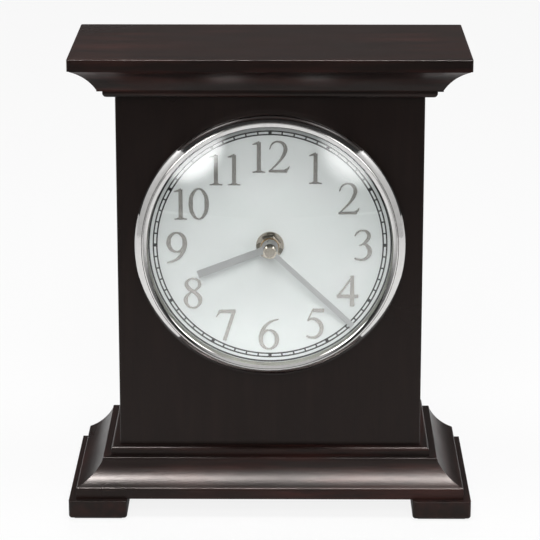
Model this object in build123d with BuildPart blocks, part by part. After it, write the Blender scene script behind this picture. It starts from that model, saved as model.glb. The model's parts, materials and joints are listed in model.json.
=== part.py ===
from build123d import *
import os
from math import asin, atan2, cos, degrees, radians, sin, sqrt

# A mantel clock: a moulded wooden case on two runner feet, a round dial under
# a convex glass in a polished bezel, and a battery movement with chime and
# speaker behind it, reached through a hinged back door.
# Millimetres. Z is up, the dial faces -Y and the table is at Z = 0.

# Heights of the case, from the table up
felt_thickness = 0.8
foot_height = 10.1
fascia_height = 6.0
base_cove_rise = 13.0
bead_height = 4.5
crown_height = 17.5
top_board_thickness = 6.3

# Case boards
case_width = 166.0
case_depth = 82.0
panel_thickness = 12.0
side_thickness = 12.0
floor_thickness = 12.0
back_recess = 5.0
rail_thickness = 12.0
bottom_rail_height = 15.0
top_rail_height = 22.0
edge_round = 0.8

# Mouldings and top board, as distances out from the case face
base_reach = 23.2
base_lip_round = 0.6
base_cove_radius = 24.0
base_cove_inner = 9.3
base_nose = 1.2
bead_reach = 5.0
bead_round = 2.0
crown_soffit = 3.6
crown_ovolo_radius = 2.7
crown_ovolo_fillet = 1.4
crown_step = 2.9
crown_quirk = 0.7
crown_cove_radius = 29.0
crown_reach = 22.4
crown_lip = 0.4
top_reach = 23.7
foot_width = 32.0
foot_proud = 4.0
foot_round = 1.8
felt_inset = 3.0

# Dial insert
dial_height = 150.2
dial_top_margin = 8.3
bezel_radius = 73.1
bezel_wall = 8.0
bezel_shoulder_inset = 3.6
bezel_shoulder_rise = 2.4
bezel_crease = 0.3
bezel_lip_inset = 6.5
bezel_lip_edge = 0.7
bezel_roll_factor = 1.3
bezel_skirt_inset = 2.9
bezel_skirt_depth = 9.0
bore_inset = 4.7
aperture_gap = 0.15
dial_front = 4.0
dial_thickness = 1.0
backing_thickness = 3.0
retainer_thickness = 1.2
retainer_width = 2.2
reflector_width = 2.4
reflector_height = 3.2
reflector_top_width = 0.8
reflector_relief = 0.4
lens_thickness = 2.0
lens_rise = 14.4
seat_gap = 0.1
running_gap = 0.1
pivot_gap = 0.05

# Hand stack
bush_radius = 4.0
bush_above_dial = 5.0
bush_flange_radius = 5.6
bush_flange_thickness = 0.5
washer_radius = 7.5
washer_thickness = 0.8
nut_across_flats = 10.4
nut_thickness = 2.6
nut_chamfer = 0.8
nut_turn = 12.0
arbor_radius = 1.2
pipe_wall = 0.8
hour_hand_angle = 249.0
hour_hand_length = 41.5
hour_hand_width = 4.0
hour_boss_radius = 4.6
hour_hand_lift = 5.5
hand_thickness = 0.7
minute_hand_angle = 134.5
minute_tip_margin = 3.3
minute_hand_root_width = 2.6
minute_hand_tip_width = 3.0
minute_boss_radius = 3.6
minute_hand_lift = 10.7
minute_tip_lift = 4.2
collet_radius = 2.6
hand_nut_radius = 3.65
hand_nut_height = 4.0
hand_nut_chamfer = 0.45
hand_nut_bore_depth = 2.6

# Movement housing
washer_gap = 1.0
rubber_washer_radius = 14.0
movement_width = 106.0
movement_height = 66.0
movement_corner = 4.0
movement_wall = 1.5
front_shell_depth = 12.0
boss_radius = 3.0
boss_inset_x = 4.0
boss_inset_z = 4.0
boss_gap_x = 3.4
screw_radius = 1.0
screw_head_radius = 2.3
screw_head_height = 1.4
screw_depth = 8.0
screw_clearance = 0.3

# Battery, one C cell standing upright in a tray open to the back
cell_radius = 13.1
cell_length = 50.0
cell_nub_radius = 3.3
cell_nub_height = 1.5
cell_gap = 0.25
contact_thickness = 0.5
contact_width = 12.0
contact_depth = 16.0
contact_leaf = 1.8
tray_wall = 1.5
tray_gap = 0.5
tray_coil_gap = 0.4

# Gear train
motion_module = 0.5
train_module = 0.35
rotor_module = 0.3
cannon_teeth = 12
minute_teeth = 36
minute_pinion_teeth = 10
hour_teeth = 40
setting_teeth = 12
center_teeth = 60
third_pinion_teeth = 8
third_teeth = 48
second_pinion_teeth = 6
second_teeth = 45
rotor_pinion_teeth = 6
addendum = 0.75
dedendum = 1.1
root_half_share = 0.27
tip_half_share = 0.11
gear_thickness = 1.2
layer_pitch = 2.0
first_layer_gap = 0.8
minute_wheel_bearing = -60.0
setting_bearing = -90.0
third_bearing = 90.0
second_bearing = 20.0
rotor_bearing = -45.0
pivot_radius = 0.6
pivot_depth = 0.8
rotor_radius = 3.4
rotor_length = 3.2
stator_gap = 0.6
stator_thickness = 0.8
stator_rim = 1.3
stator_limb = 5.0
limb_shift = 1.0
stator_arm = 3.0
coil_radius = 3.1
coil_length = 13.0
coil_gap = 0.5
coil_flange = 1.0
coil_winding_inset = 0.4
core_width = 2.4
core_thickness = 1.0
bridge_thickness = 1.2
bridge_width = 41.0
bridge_height = 50.0
bridge_center_x = 4.5
post_radius = 2.0
post_inset = 3.2

# Circuit board, speaker, knob and switches
board_margin = 2.0
board_bridge_gap = 0.5
board_thickness = 1.2
board_post_height = 4.5
board_post_radius = 1.5
chip_size = 9.0
chip_height = 1.0
chip_offset = 12.0
crystal_radius = 1.5
crystal_length = 8.0
speaker_margin = 1.5
speaker_radius = 18.0
speaker_rim = 2.0
speaker_rim_height = 1.6
speaker_depth = 9.0
basket_thickness = 0.8
magnet_radius = 9.0
magnet_height = 4.0
cone_thickness = 0.5
cone_gap = 0.3
cone_foot = 3.0
speaker_slot_count = 5
speaker_slot_width = 3.0
speaker_slot_pitch = 5.5
knob_radius = 7.0
knob_height = 5.5
knob_flutes = 16
knob_flute_radius = 0.8
knob_gap = 0.4
setting_arbor_radius = 1.0
switch_center_z = 19.0
chime_switch_x = -4.0
volume_switch_x = 13.0
switch_lever = 3.0
switch_lever_height = 2.2
switch_slide_margin = 1.0
switch_slide_thickness = 1.2
chime_travel = 6.0
volume_travel = 8.0

# Back door and its fittings
door_thickness = 4.0
door_gap = 0.6
hinge_inset = 34.0
hinge_height = 24.0
hinge_screw_spacing = 12.0
knuckle_count = 3
leaf_width = 9.0
leaf_thickness = 0.8
knuckle_radius = 2.0
knuckle_gap = 0.2
hinge_pin_radius = 0.9
hinge_screw_radius = 0.9
hinge_screw_head_radius = 1.8
hinge_screw_head_height = 0.7
case_screw_length = 9.0
door_screw_length = 3.0
door_knob_radius = 6.0
door_knob_neck_radius = 3.2
door_knob_neck = 1.8
door_knob_height = 4.2
door_knob_spigot_radius = 2.0
door_knob_spigot = 2.5
door_knob_inset = 14.0
catch_width = 8.0
catch_depth = 12.0
catch_height = 24.0
catch_gap = 0.1
strike_width = 9.0
strike_thickness = 1.0
strike_height = 20.0
sound_slot_count = 7
sound_slot_length = 46.0
sound_slot_width = 3.5
sound_slot_pitch = 8.0

# Levels worked out from the driving dimensions
z_foot = felt_thickness + foot_height
z_fascia = z_foot + fascia_height
z_ledge = z_fascia + base_cove_rise
z_bead = z_ledge + bead_height
z_crown = dial_height + bezel_radius + dial_top_margin
z_case_top = z_crown + crown_height
z_floor = z_foot + floor_thickness
total_depth = case_depth + base_reach + foot_proud
y_back = total_depth / 2
y_face = y_back - case_depth
y_case_back = y_back - back_recess
half_case = case_width / 2
inner_half = half_case - side_thickness
y_panel_back = y_face + panel_thickness
bezel_skirt_radius = bezel_radius - bezel_skirt_inset


def dial_plane(h):
    """A plane square to the dial axis, h in front of the front panel, seen from the front."""
    return Plane(origin=(0, y_face - h, dial_height), x_dir=(1, 0, 0), z_dir=(0, -1, 0))


def axis_plane(x=0.0, z=0.0):
    """A lengthwise plane through an arbor: x runs out from the arbor, y runs to the front."""
    return Plane(origin=(x, y_face, dial_height + z), x_dir=(1, 0, 0), z_dir=(0, 0, -1))


def arbor_axis(x=0.0, z=0.0):
    return Axis((x, y_face, dial_height + z), (0, -1, 0))


def hand_plane(h, clock_angle):
    """A dial plane turned so that its y runs along a hand at this clock angle."""
    turn = radians(clock_angle)
    return Plane(
        origin=(0, y_face - h, dial_height), x_dir=(cos(turn), 0, -sin(turn)), z_dir=(0, -1, 0)
    )


def span_box(x_span, y_span, z_span, mode=Mode.ADD):
    """Adds a block that fills the three spans to the part being built."""
    center = [(low + high) / 2 for low, high in (x_span, y_span, z_span)]
    sizes = [high - low for low, high in (x_span, y_span, z_span)]
    with Locations(tuple(center)):
        Box(*sizes, mode=mode)


def save(built, name):
    built.part.label = name
    export_step(built.part, f"parts/{name}.step")


os.makedirs("parts", exist_ok=True)

# Runner feet with felt under them
x_foot_outer = half_case + base_reach + foot_proud
x_foot_inner = x_foot_outer - foot_width
y_foot_front = y_face - base_reach - foot_proud
with BuildPart() as right_foot:
    span_box((x_foot_inner, x_foot_outer), (y_foot_front, y_back), (felt_thickness, z_foot))
    rounded = right_foot.edges().filter_by(Axis.Y) + right_foot.faces().sort_by(Axis.Y)[0].edges()
    fillet(rounded, foot_round)
save(right_foot, "right_foot")

with BuildPart() as left_foot:
    mirror(right_foot.part, about=Plane.YZ)
save(left_foot, "left_foot")

with BuildPart() as foot_felts:
    span_box(
        (x_foot_inner + felt_inset, x_foot_outer - felt_inset),
        (y_foot_front + felt_inset, y_back - felt_inset),
        (0, felt_thickness),
    )
    mirror(about=Plane.YZ)
save(foot_felts, "foot_felts")

# Case boards
with BuildPart() as case_floor:
    span_box((-half_case, half_case), (y_face, y_back), (z_foot, z_floor))
save(case_floor, "case_floor")

with BuildPart() as front_panel:
    span_box((-half_case, half_case), (y_face, y_panel_back), (z_floor, z_case_top))
    front_corners = front_panel.edges().filter_by(Axis.Z).group_by(Axis.Y)[0]
    fillet(front_corners, edge_round)
    with BuildSketch(dial_plane(0)):
        Circle(bezel_skirt_radius + aperture_gap)
    extrude(amount=-panel_thickness, mode=Mode.SUBTRACT)
save(front_panel, "front_panel")

# Hinge places on the left of the case, used by the side board, leaves, pins and screws
inner_gap_x = -inner_half + door_gap / 2
y_hinge = y_case_back + knuckle_radius
z_door_bottom = z_floor + bottom_rail_height + door_gap
z_door_top = z_case_top - top_rail_height - door_gap
hinge_levels = (z_door_bottom + hinge_inset, z_door_top - hinge_inset)
screw_offsets = (-hinge_screw_spacing / 2, hinge_screw_spacing / 2)
leaf_middle = (knuckle_radius + leaf_width) / 2
case_screw_spots = [(inner_gap_x - leaf_middle, z + dz) for z in hinge_levels for dz in screw_offsets]
door_screw_spots = [(inner_gap_x + leaf_middle, z + dz) for z in hinge_levels for dz in screw_offsets]
screw_hole_radius = hinge_screw_radius + pivot_gap
back_face_plane = Plane(origin=(0, y_case_back, 0), x_dir=(1, 0, 0), z_dir=(0, -1, 0))

with BuildPart() as right_side:
    span_box((inner_half, half_case), (y_panel_back, y_case_back), (z_floor, z_case_top))
save(right_side, "right_side")

with BuildPart() as left_side:
    mirror(right_side.part, about=Plane.YZ)
    with BuildSketch(back_face_plane):
        with Locations(*case_screw_spots):
            Circle(screw_hole_radius)
    extrude(amount=case_screw_length, mode=Mode.SUBTRACT)
save(left_side, "left_side")

with BuildPart() as bottom_rail:
    span_box(
        (-inner_half, inner_half),
        (y_case_back - rail_thickness, y_case_back),
        (z_floor, z_floor + bottom_rail_height),
    )
save(bottom_rail, "bottom_rail")

with BuildPart() as top_rail:
    span_box(
        (-inner_half, inner_half),
        (y_case_back - rail_thickness, y_case_back),
        (z_case_top - top_rail_height, z_case_top),
    )
save(top_rail, "top_rail")

half_top = half_case + top_reach
with BuildPart() as top_board:
    span_box(
        (-half_top, half_top), (y_face - top_reach, y_back), (z_case_top, z_case_top + top_board_thickness)
    )
    rounded = top_board.edges().filter_by(Axis.Y) + top_board.faces().sort_by(Axis.Y)[0].edges()
    fillet(rounded, edge_round)
save(top_board, "top_board")

# Moulding profiles: x is the reach out from the case face, y is the height
with BuildSketch() as base_profile:
    with BuildLine():
        Polyline((0, z_bead), (0, z_foot), (base_reach, z_foot), (base_reach, z_fascia))
        RadiusArc((base_reach, z_fascia), (base_cove_inner, z_ledge - base_nose), base_cove_radius)
        Polyline(
            (base_cove_inner, z_ledge - base_nose),
            (base_cove_inner, z_ledge),
            (bead_reach, z_ledge),
            (bead_reach, z_bead),
            (0, z_bead),
        )
    make_face()
    lips = base_profile.vertices().filter_by(lambda v: (v.X, v.Y) == (base_reach, z_fascia))
    noses = base_profile.vertices().filter_by(lambda v: (v.X, v.Y) == (base_cove_inner, z_ledge))
    fillet(lips + noses, base_lip_round)
    bead_tops = base_profile.vertices().filter_by(lambda v: (v.X, v.Y) == (bead_reach, z_bead))
    fillet(bead_tops, bead_round)

ovolo_reach = crown_soffit + crown_ovolo_radius
z_ovolo = z_crown + crown_ovolo_radius
z_step = z_ovolo + crown_ovolo_fillet
cove_start = (ovolo_reach + crown_step, z_step + crown_quirk)
cove_end = (crown_reach, z_case_top - crown_lip)
with BuildSketch() as crown_profile:
    with BuildLine():
        Polyline((0, z_case_top), (0, z_crown), (crown_soffit, z_crown))
        CenterArc((crown_soffit, z_ovolo), crown_ovolo_radius, -90, 90)
        Polyline((ovolo_reach, z_ovolo), (ovolo_reach, z_step), (cove_start[0], z_step), cove_start)
        RadiusArc(cove_start, cove_end, crown_cove_radius)
        Polyline(cove_end, (crown_reach, z_case_top), (0, z_case_top))
    make_face()

# The mouldings run round three sides, mitred at the front corners
mitre = Plane(origin=(half_case, y_face, 0), z_dir=(1, 1, 0))
mitre_mirror = Plane(origin=(-half_case, y_face, 0), z_dir=(-1, 1, 0))
side_section = Plane(origin=(half_case, y_back, 0), x_dir=(1, 0, 0), z_dir=(0, -1, 0))


def front_section(reach):
    return Plane(origin=(half_case + reach, y_face, 0), x_dir=(0, -1, 0), z_dir=(-1, 0, 0))


with BuildPart() as base_molding_front:
    with BuildSketch(front_section(base_reach)):
        add(base_profile.sketch)
    extrude(amount=case_width + 2 * base_reach)
    split(bisect_by=mitre, keep=Keep.BOTTOM)
    split(bisect_by=mitre_mirror, keep=Keep.BOTTOM)
save(base_molding_front, "base_molding_front")

with BuildPart() as base_molding_right:
    with BuildSketch(side_section):
        add(base_profile.sketch)
    extrude(amount=case_depth + base_reach)
    split(bisect_by=mitre, keep=Keep.TOP)
save(base_molding_right, "base_molding_right")

with BuildPart() as base_molding_left:
    mirror(base_molding_right.part, about=Plane.YZ)
save(base_molding_left, "base_molding_left")

with BuildPart() as crown_front:
    with BuildSketch(front_section(crown_reach)):
        add(crown_profile.sketch)
    extrude(amount=case_width + 2 * crown_reach)
    split(bisect_by=mitre, keep=Keep.BOTTOM)
    split(bisect_by=mitre_mirror, keep=Keep.BOTTOM)
save(crown_front, "crown_front")

with BuildPart() as crown_right:
    with BuildSketch(side_section):
        add(crown_profile.sketch)
    extrude(amount=case_depth + crown_reach)
    split(bisect_by=mitre, keep=Keep.TOP)
save(crown_right, "crown_right")

with BuildPart() as crown_left:
    mirror(crown_right.part, about=Plane.YZ)
save(crown_left, "crown_left")

# Dial insert, stacked from the back of the bezel's bore to its lip
bore_radius = bezel_radius - bore_inset
bezel_shoulder_radius = bezel_radius - bezel_shoulder_inset
bezel_lip_radius = bezel_radius - bezel_lip_inset
stack_radius = bore_radius - seat_gap
reflector_inner_radius = stack_radius - reflector_width
dial_back = dial_front - dial_thickness
backing_back = dial_back - backing_thickness
lens_rim = dial_front + reflector_height
inner_sphere = (stack_radius**2 + lens_rise**2) / (2 * lens_rise)
outer_sphere = inner_sphere + lens_thickness
sphere_center = lens_rim + lens_rise - inner_sphere


def lens_front(radius):
    """Height of the glass's outer face at this distance from the dial axis."""
    return sphere_center + sqrt(outer_sphere**2 - radius**2)


shoulder_h = bezel_wall + bezel_shoulder_rise
lip_under = lens_front(bezel_lip_radius) + seat_gap
lip_top = lip_under + bezel_lip_edge
crease_radius = bezel_shoulder_radius - bezel_crease
with BuildPart() as bezel:
    with BuildSketch(axis_plane()):
        with BuildLine():
            Polyline((bezel_skirt_radius, 0), (bezel_radius, 0), (bezel_radius, bezel_wall))
            RadiusArc(
                (bezel_radius, bezel_wall),
                (bezel_shoulder_radius, shoulder_h),
                -bezel_roll_factor * (bezel_radius - bezel_shoulder_radius),
            )
            Line((bezel_shoulder_radius, shoulder_h), (crease_radius, shoulder_h))
            RadiusArc(
                (crease_radius, shoulder_h),
                (bezel_lip_radius, lip_top),
                -bezel_roll_factor * (crease_radius - bezel_lip_radius),
            )
            Polyline(
                (bezel_lip_radius, lip_top),
                (bezel_lip_radius, lip_under),
                (bore_radius, lens_front(bore_radius) + seat_gap),
                (bore_radius, -bezel_skirt_depth),
                (bezel_skirt_radius, -bezel_skirt_depth),
                (bezel_skirt_radius, 0),
            )
        make_face()
    revolve(axis=arbor_axis())
save(bezel, "bezel")

with BuildPart() as lens:
    with BuildSketch(axis_plane()):
        with BuildLine():
            inner_turn = degrees(asin(stack_radius / inner_sphere))
            outer_turn = degrees(asin(stack_radius / outer_sphere))
            inner_arc = CenterArc((0, sphere_center), inner_sphere, 90 - inner_turn, inner_turn)
            outer_arc = CenterArc((0, sphere_center), outer_sphere, 90 - outer_turn, outer_turn)
            Line(inner_arc @ 0, outer_arc @ 0)
            Line(inner_arc @ 1, outer_arc @ 1)
        make_face()
    revolve(axis=arbor_axis())
save(lens, "lens")

with BuildPart() as reflector_ring:
    with BuildSketch(axis_plane()):
        Polygon(
            (reflector_inner_radius + reflector_relief, dial_front),
            (stack_radius, dial_front),
            (stack_radius, lens_rim),
            (stack_radius - reflector_top_width, lens_rim),
            (reflector_inner_radius, dial_front + reflector_relief),
            align=None,
        )
    revolve(axis=arbor_axis())
save(reflector_ring, "reflector_ring")

bush_hole_radius = bush_radius + pivot_gap
with BuildPart() as dial_plate:
    with BuildSketch(dial_plane(dial_back)):
        Circle(stack_radius)
        Circle(bush_hole_radius, mode=Mode.SUBTRACT)
    extrude(amount=dial_thickness)
save(dial_plate, "dial_plate")

with BuildPart() as dial_board:
    with BuildSketch(dial_plane(backing_back)):
        Circle(stack_radius)
        Circle(bush_hole_radius, mode=Mode.SUBTRACT)
    extrude(amount=backing_thickness)
save(dial_board, "dial_board")

with BuildPart() as retaining_ring:
    with BuildSketch(dial_plane(backing_back - retainer_thickness)):
        Circle(stack_radius)
        Circle(stack_radius - retainer_width, mode=Mode.SUBTRACT)
    extrude(amount=retainer_thickness)
save(retaining_ring, "retaining_ring")

# Levels of the movement, all measured from the front panel's face
shell_front = backing_back - washer_gap
cavity_front = shell_front - movement_wall
parting = shell_front - front_shell_depth
tray_floor = cavity_front - tray_gap - tray_wall
shell_back = tray_floor - 2 * (cell_radius + cell_gap)
rear_shell_depth = parting - shell_back
cavity_back = shell_back + movement_wall
flange_back = cavity_front - bush_flange_thickness
layer_a = flange_back - running_gap - first_layer_gap - gear_thickness
layer_b = layer_a - layer_pitch
layer_c = layer_b - layer_pitch
layer_d = layer_c - layer_pitch
bridge_front = layer_d - first_layer_gap - gear_thickness
bridge_back = bridge_front - bridge_thickness

# Bush, washer and nut that clamp the movement to the dial
pipe_bore = arbor_radius + running_gap
pipe_radius = pipe_bore + pipe_wall
bush_bore = pipe_radius + running_gap
bush_top = dial_front + bush_above_dial
with BuildPart() as center_bush:
    with BuildSketch(dial_plane(flange_back)):
        Circle(bush_flange_radius)
        Circle(bush_bore, mode=Mode.SUBTRACT)
    extrude(amount=bush_flange_thickness)
    with BuildSketch(dial_plane(cavity_front)):
        Circle(bush_radius)
        Circle(bush_bore, mode=Mode.SUBTRACT)
    extrude(amount=bush_top - cavity_front)
save(center_bush, "center_bush")

with BuildPart() as rubber_washer:
    with BuildSketch(dial_plane(shell_front)):
        Circle(rubber_washer_radius)
        Circle(bush_hole_radius, mode=Mode.SUBTRACT)
    extrude(amount=washer_gap)
save(rubber_washer, "rubber_washer")

with BuildPart() as dial_washer:
    with BuildSketch(dial_plane(dial_front)):
        Circle(washer_radius)
        Circle(bush_hole_radius, mode=Mode.SUBTRACT)
    extrude(amount=washer_thickness)
save(dial_washer, "dial_washer")

nut_base = dial_front + washer_thickness
with BuildPart() as dial_nut:
    with BuildSketch(dial_plane(nut_base)):
        RegularPolygon(nut_across_flats / 2, 6, major_radius=False, rotation=nut_turn)
        Circle(bush_hole_radius, mode=Mode.SUBTRACT)
    extrude(amount=nut_thickness)
    nut_rim = dial_nut.faces().sort_by(Axis.Y)[0].outer_wire().edges()
    chamfer(nut_rim, nut_chamfer)
save(dial_nut, "dial_nut")

# Hands
hour_hand_h = dial_front + hour_hand_lift
with BuildPart() as hour_hand:
    with BuildSketch(hand_plane(hour_hand_h, hour_hand_angle)):
        Circle(hour_boss_radius)
        with Locations((0, hour_hand_length / 2)):
            Rectangle(hour_hand_width, hour_hand_length)
        Circle(pipe_radius + pivot_gap, mode=Mode.SUBTRACT)
    extrude(amount=hand_thickness)
save(hour_hand, "hour_hand")

minute_hand_length = reflector_inner_radius - minute_tip_margin
minute_hand_h = dial_front + minute_hand_lift
minute_tip_h = dial_front + minute_tip_lift
collet_bottom = hour_hand_h + hand_thickness + 2 * running_gap + pipe_wall
minute_turn = radians(minute_hand_angle)
minute_side = Plane(
    origin=(0, y_face, dial_height),
    x_dir=(sin(minute_turn), 0, cos(minute_turn)),
    z_dir=(cos(minute_turn), 0, -sin(minute_turn)),
)
with BuildPart() as minute_hand:
    with BuildSketch(minute_side):
        Polygon(
            (0, minute_hand_h),
            (minute_boss_radius, minute_hand_h),
            (minute_hand_length, minute_tip_h),
            (minute_hand_length, minute_tip_h + hand_thickness),
            (minute_boss_radius, minute_hand_h + hand_thickness),
            (0, minute_hand_h + hand_thickness),
            align=None,
        )
    extrude(amount=minute_boss_radius, both=True)
    with BuildSketch(hand_plane(minute_tip_h, minute_hand_angle)):
        Polygon(
            (-minute_hand_root_width / 2, 0),
            (minute_hand_root_width / 2, 0),
            (minute_hand_tip_width / 2, minute_hand_length),
            (-minute_hand_tip_width / 2, minute_hand_length),
            align=None,
        )
    extrude(amount=minute_hand_h + hand_thickness - minute_tip_h, mode=Mode.INTERSECT)
    with BuildSketch(dial_plane(minute_hand_h)):
        Circle(minute_boss_radius)
    extrude(amount=hand_thickness)
    with BuildSketch(dial_plane(collet_bottom)):
        Circle(collet_radius)
    extrude(amount=minute_hand_h - collet_bottom)
    with BuildSketch(dial_plane(collet_bottom)):
        Circle(arbor_radius + pivot_gap)
    extrude(amount=minute_hand_h + hand_thickness - collet_bottom, mode=Mode.SUBTRACT)
save(minute_hand, "minute_hand")

hand_nut_h = minute_hand_h + hand_thickness
with BuildPart() as hand_nut:
    with BuildSketch(dial_plane(hand_nut_h)):
        Circle(hand_nut_radius)
    extrude(amount=hand_nut_height)
    chamfer(hand_nut.edges().sort_by(Axis.Y)[0], hand_nut_chamfer)
    with BuildSketch(dial_plane(hand_nut_h)):
        Circle(arbor_radius + pivot_gap)
    extrude(amount=hand_nut_bore_depth, mode=Mode.SUBTRACT)
save(hand_nut, "hand_nut")


# Gear train
def gear_distance(module, teeth, mate_teeth):
    return module * (teeth + mate_teeth) / 2


def step_from(start, distance, bearing):
    """The point this far from start, with the bearing counted from +X towards +Z."""
    return (start[0] + distance * cos(radians(bearing)), start[1] + distance * sin(radians(bearing)))


def bearing_to(start, end):
    return degrees(atan2(end[1] - start[1], end[0] - start[0]))


def mating_phase(teeth, mate_teeth, mate_phase, mate_center, center):
    """The angle of a tooth of a gear at center that meshes with its mate."""
    line = bearing_to(mate_center, center)
    mate_share = (line - mate_phase) / (360 / mate_teeth)
    return line + 180 - (0.5 - mate_share) * 360 / teeth


def draw_gear(center, module, teeth, phase):
    """Adds a toothed disc with straight flanks to the sketch being drawn."""
    pitch_radius = module * teeth / 2
    tip = pitch_radius + addendum * module
    root = pitch_radius - dedendum * module
    corners = (
        (-root_half_share, root),
        (-tip_half_share, tip),
        (tip_half_share, tip),
        (root_half_share, root),
    )
    points = []
    for tooth in range(teeth):
        for share, radius in corners:
            points.append(step_from(center, radius, phase + (tooth + share) * 360 / teeth))
    Polygon(*points, align=None)


center_spot = (0.0, 0.0)
motion_distance = gear_distance(motion_module, cannon_teeth, minute_teeth)
hour_pair_module = 2 * motion_distance / (hour_teeth + minute_pinion_teeth)
minute_spot = step_from(center_spot, motion_distance, minute_wheel_bearing)
setting_spot = step_from(
    minute_spot, gear_distance(motion_module, minute_teeth, setting_teeth), setting_bearing
)
third_spot = step_from(
    center_spot, gear_distance(train_module, center_teeth, third_pinion_teeth), third_bearing
)
second_spot = step_from(
    third_spot, gear_distance(train_module, third_teeth, second_pinion_teeth), second_bearing
)
rotor_spot = step_from(
    second_spot, gear_distance(rotor_module, second_teeth, rotor_pinion_teeth), rotor_bearing
)

cannon_phase = minute_wheel_bearing
minute_phase = mating_phase(minute_teeth, cannon_teeth, cannon_phase, center_spot, minute_spot)
setting_phase = mating_phase(setting_teeth, minute_teeth, minute_phase, minute_spot, setting_spot)
hour_phase = minute_wheel_bearing
minute_pinion_phase = mating_phase(minute_pinion_teeth, hour_teeth, hour_phase, center_spot, minute_spot)
center_phase = third_bearing
third_pinion_phase = mating_phase(third_pinion_teeth, center_teeth, center_phase, center_spot, third_spot)
third_phase = second_bearing
second_pinion_phase = mating_phase(second_pinion_teeth, third_teeth, third_phase, third_spot, second_spot)
second_phase = rotor_bearing
rotor_pinion_phase = mating_phase(rotor_pinion_teeth, second_teeth, second_phase, second_spot, rotor_spot)

pivot_front = cavity_front + pivot_depth
pivot_length = pivot_front - bridge_back
arbor_top = hand_nut_h + hand_nut_bore_depth - running_gap
with BuildPart() as minute_arbor:
    with BuildSketch(dial_plane(bridge_back)):
        Circle(arbor_radius)
    extrude(amount=arbor_top - bridge_back)
    with BuildSketch(dial_plane(layer_b)):
        draw_gear(center_spot, motion_module, cannon_teeth, cannon_phase)
    extrude(amount=gear_thickness)
save(minute_arbor, "minute_arbor")

with BuildPart() as hour_wheel:
    with BuildSketch(dial_plane(layer_a)):
        draw_gear(center_spot, hour_pair_module, hour_teeth, hour_phase)
    extrude(amount=gear_thickness)
    with BuildSketch(dial_plane(layer_a)):
        Circle(pipe_radius)
    extrude(amount=hour_hand_h + hand_thickness + running_gap - layer_a)
    with BuildSketch(dial_plane(layer_a)):
        Circle(pipe_bore)
    extrude(amount=hour_hand_h + hand_thickness + running_gap - layer_a, mode=Mode.SUBTRACT)
save(hour_wheel, "hour_wheel")

with BuildPart() as minute_wheel:
    with BuildSketch(dial_plane(bridge_back)):
        with Locations(minute_spot):
            Circle(pivot_radius)
    extrude(amount=pivot_length)
    with BuildSketch(dial_plane(layer_b)):
        draw_gear(minute_spot, motion_module, minute_teeth, minute_phase)
    extrude(amount=gear_thickness)
    with BuildSketch(dial_plane(layer_b + gear_thickness)):
        draw_gear(minute_spot, hour_pair_module, minute_pinion_teeth, minute_pinion_phase)
    extrude(amount=layer_a - layer_b)
save(minute_wheel, "minute_wheel")

with BuildPart() as center_wheel:
    with BuildSketch(dial_plane(layer_c)):
        draw_gear(center_spot, train_module, center_teeth, center_phase)
        Circle(arbor_radius + running_gap, mode=Mode.SUBTRACT)
    extrude(amount=gear_thickness)
save(center_wheel, "center_wheel")

with BuildPart() as third_wheel:
    with BuildSketch(dial_plane(bridge_back)):
        with Locations(third_spot):
            Circle(pivot_radius)
    extrude(amount=pivot_length)
    with BuildSketch(dial_plane(layer_d)):
        draw_gear(third_spot, train_module, third_teeth, third_phase)
    extrude(amount=gear_thickness)
    with BuildSketch(dial_plane(layer_d + gear_thickness)):
        draw_gear(third_spot, train_module, third_pinion_teeth, third_pinion_phase)
    extrude(amount=layer_c - layer_d)
save(third_wheel, "third_wheel")

with BuildPart() as second_wheel:
    with BuildSketch(dial_plane(bridge_back)):
        with Locations(second_spot):
            Circle(pivot_radius)
    extrude(amount=pivot_length)
    with BuildSketch(dial_plane(layer_d)):
        draw_gear(second_spot, train_module, second_pinion_teeth, second_pinion_phase)
    extrude(amount=gear_thickness)
    with BuildSketch(dial_plane(layer_b)):
        draw_gear(second_spot, rotor_module, second_teeth, second_phase)
    extrude(amount=gear_thickness)
save(second_wheel, "second_wheel")

rotor_back = layer_c + gear_thickness - rotor_length
with BuildPart() as rotor:
    with BuildSketch(dial_plane(bridge_back)):
        with Locations(rotor_spot):
            Circle(pivot_radius)
    extrude(amount=pivot_length)
    with BuildSketch(dial_plane(rotor_back)):
        with Locations(rotor_spot):
            Circle(rotor_radius)
    extrude(amount=rotor_length)
    with BuildSketch(dial_plane(layer_b)):
        draw_gear(rotor_spot, rotor_module, rotor_pinion_teeth, rotor_pinion_phase)
    extrude(amount=gear_thickness)
save(rotor, "rotor")

# Stator and coil: the plate rings the rotor, its two arms carry the coil's core
stator_hole = rotor_radius + stator_gap
stator_ring = stator_hole + stator_rim
arm_reach = coil_length / 2 + stator_arm / 2
limb_x = rotor_spot[0] + limb_shift
coil_x = rotor_spot[0] + stator_ring + coil_gap + coil_radius
arm_left = limb_x - stator_limb / 2
arm_right = coil_x + core_width / 2
stator_back = rotor_back + stator_gap
stator_front = stator_back + stator_thickness
with BuildPart() as stator:
    with BuildSketch(dial_plane(stator_back)):
        with Locations(rotor_spot):
            Circle(stator_ring)
        with Locations((limb_x, rotor_spot[1])):
            Rectangle(stator_limb, 2 * arm_reach + stator_arm)
        for side in (-1, 1):
            with Locations(((arm_left + arm_right) / 2, rotor_spot[1] + side * arm_reach)):
                Rectangle(arm_right - arm_left, stator_arm)
        with Locations(rotor_spot):
            Circle(stator_hole, mode=Mode.SUBTRACT)
    extrude(amount=stator_thickness)
save(stator, "stator")

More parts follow.
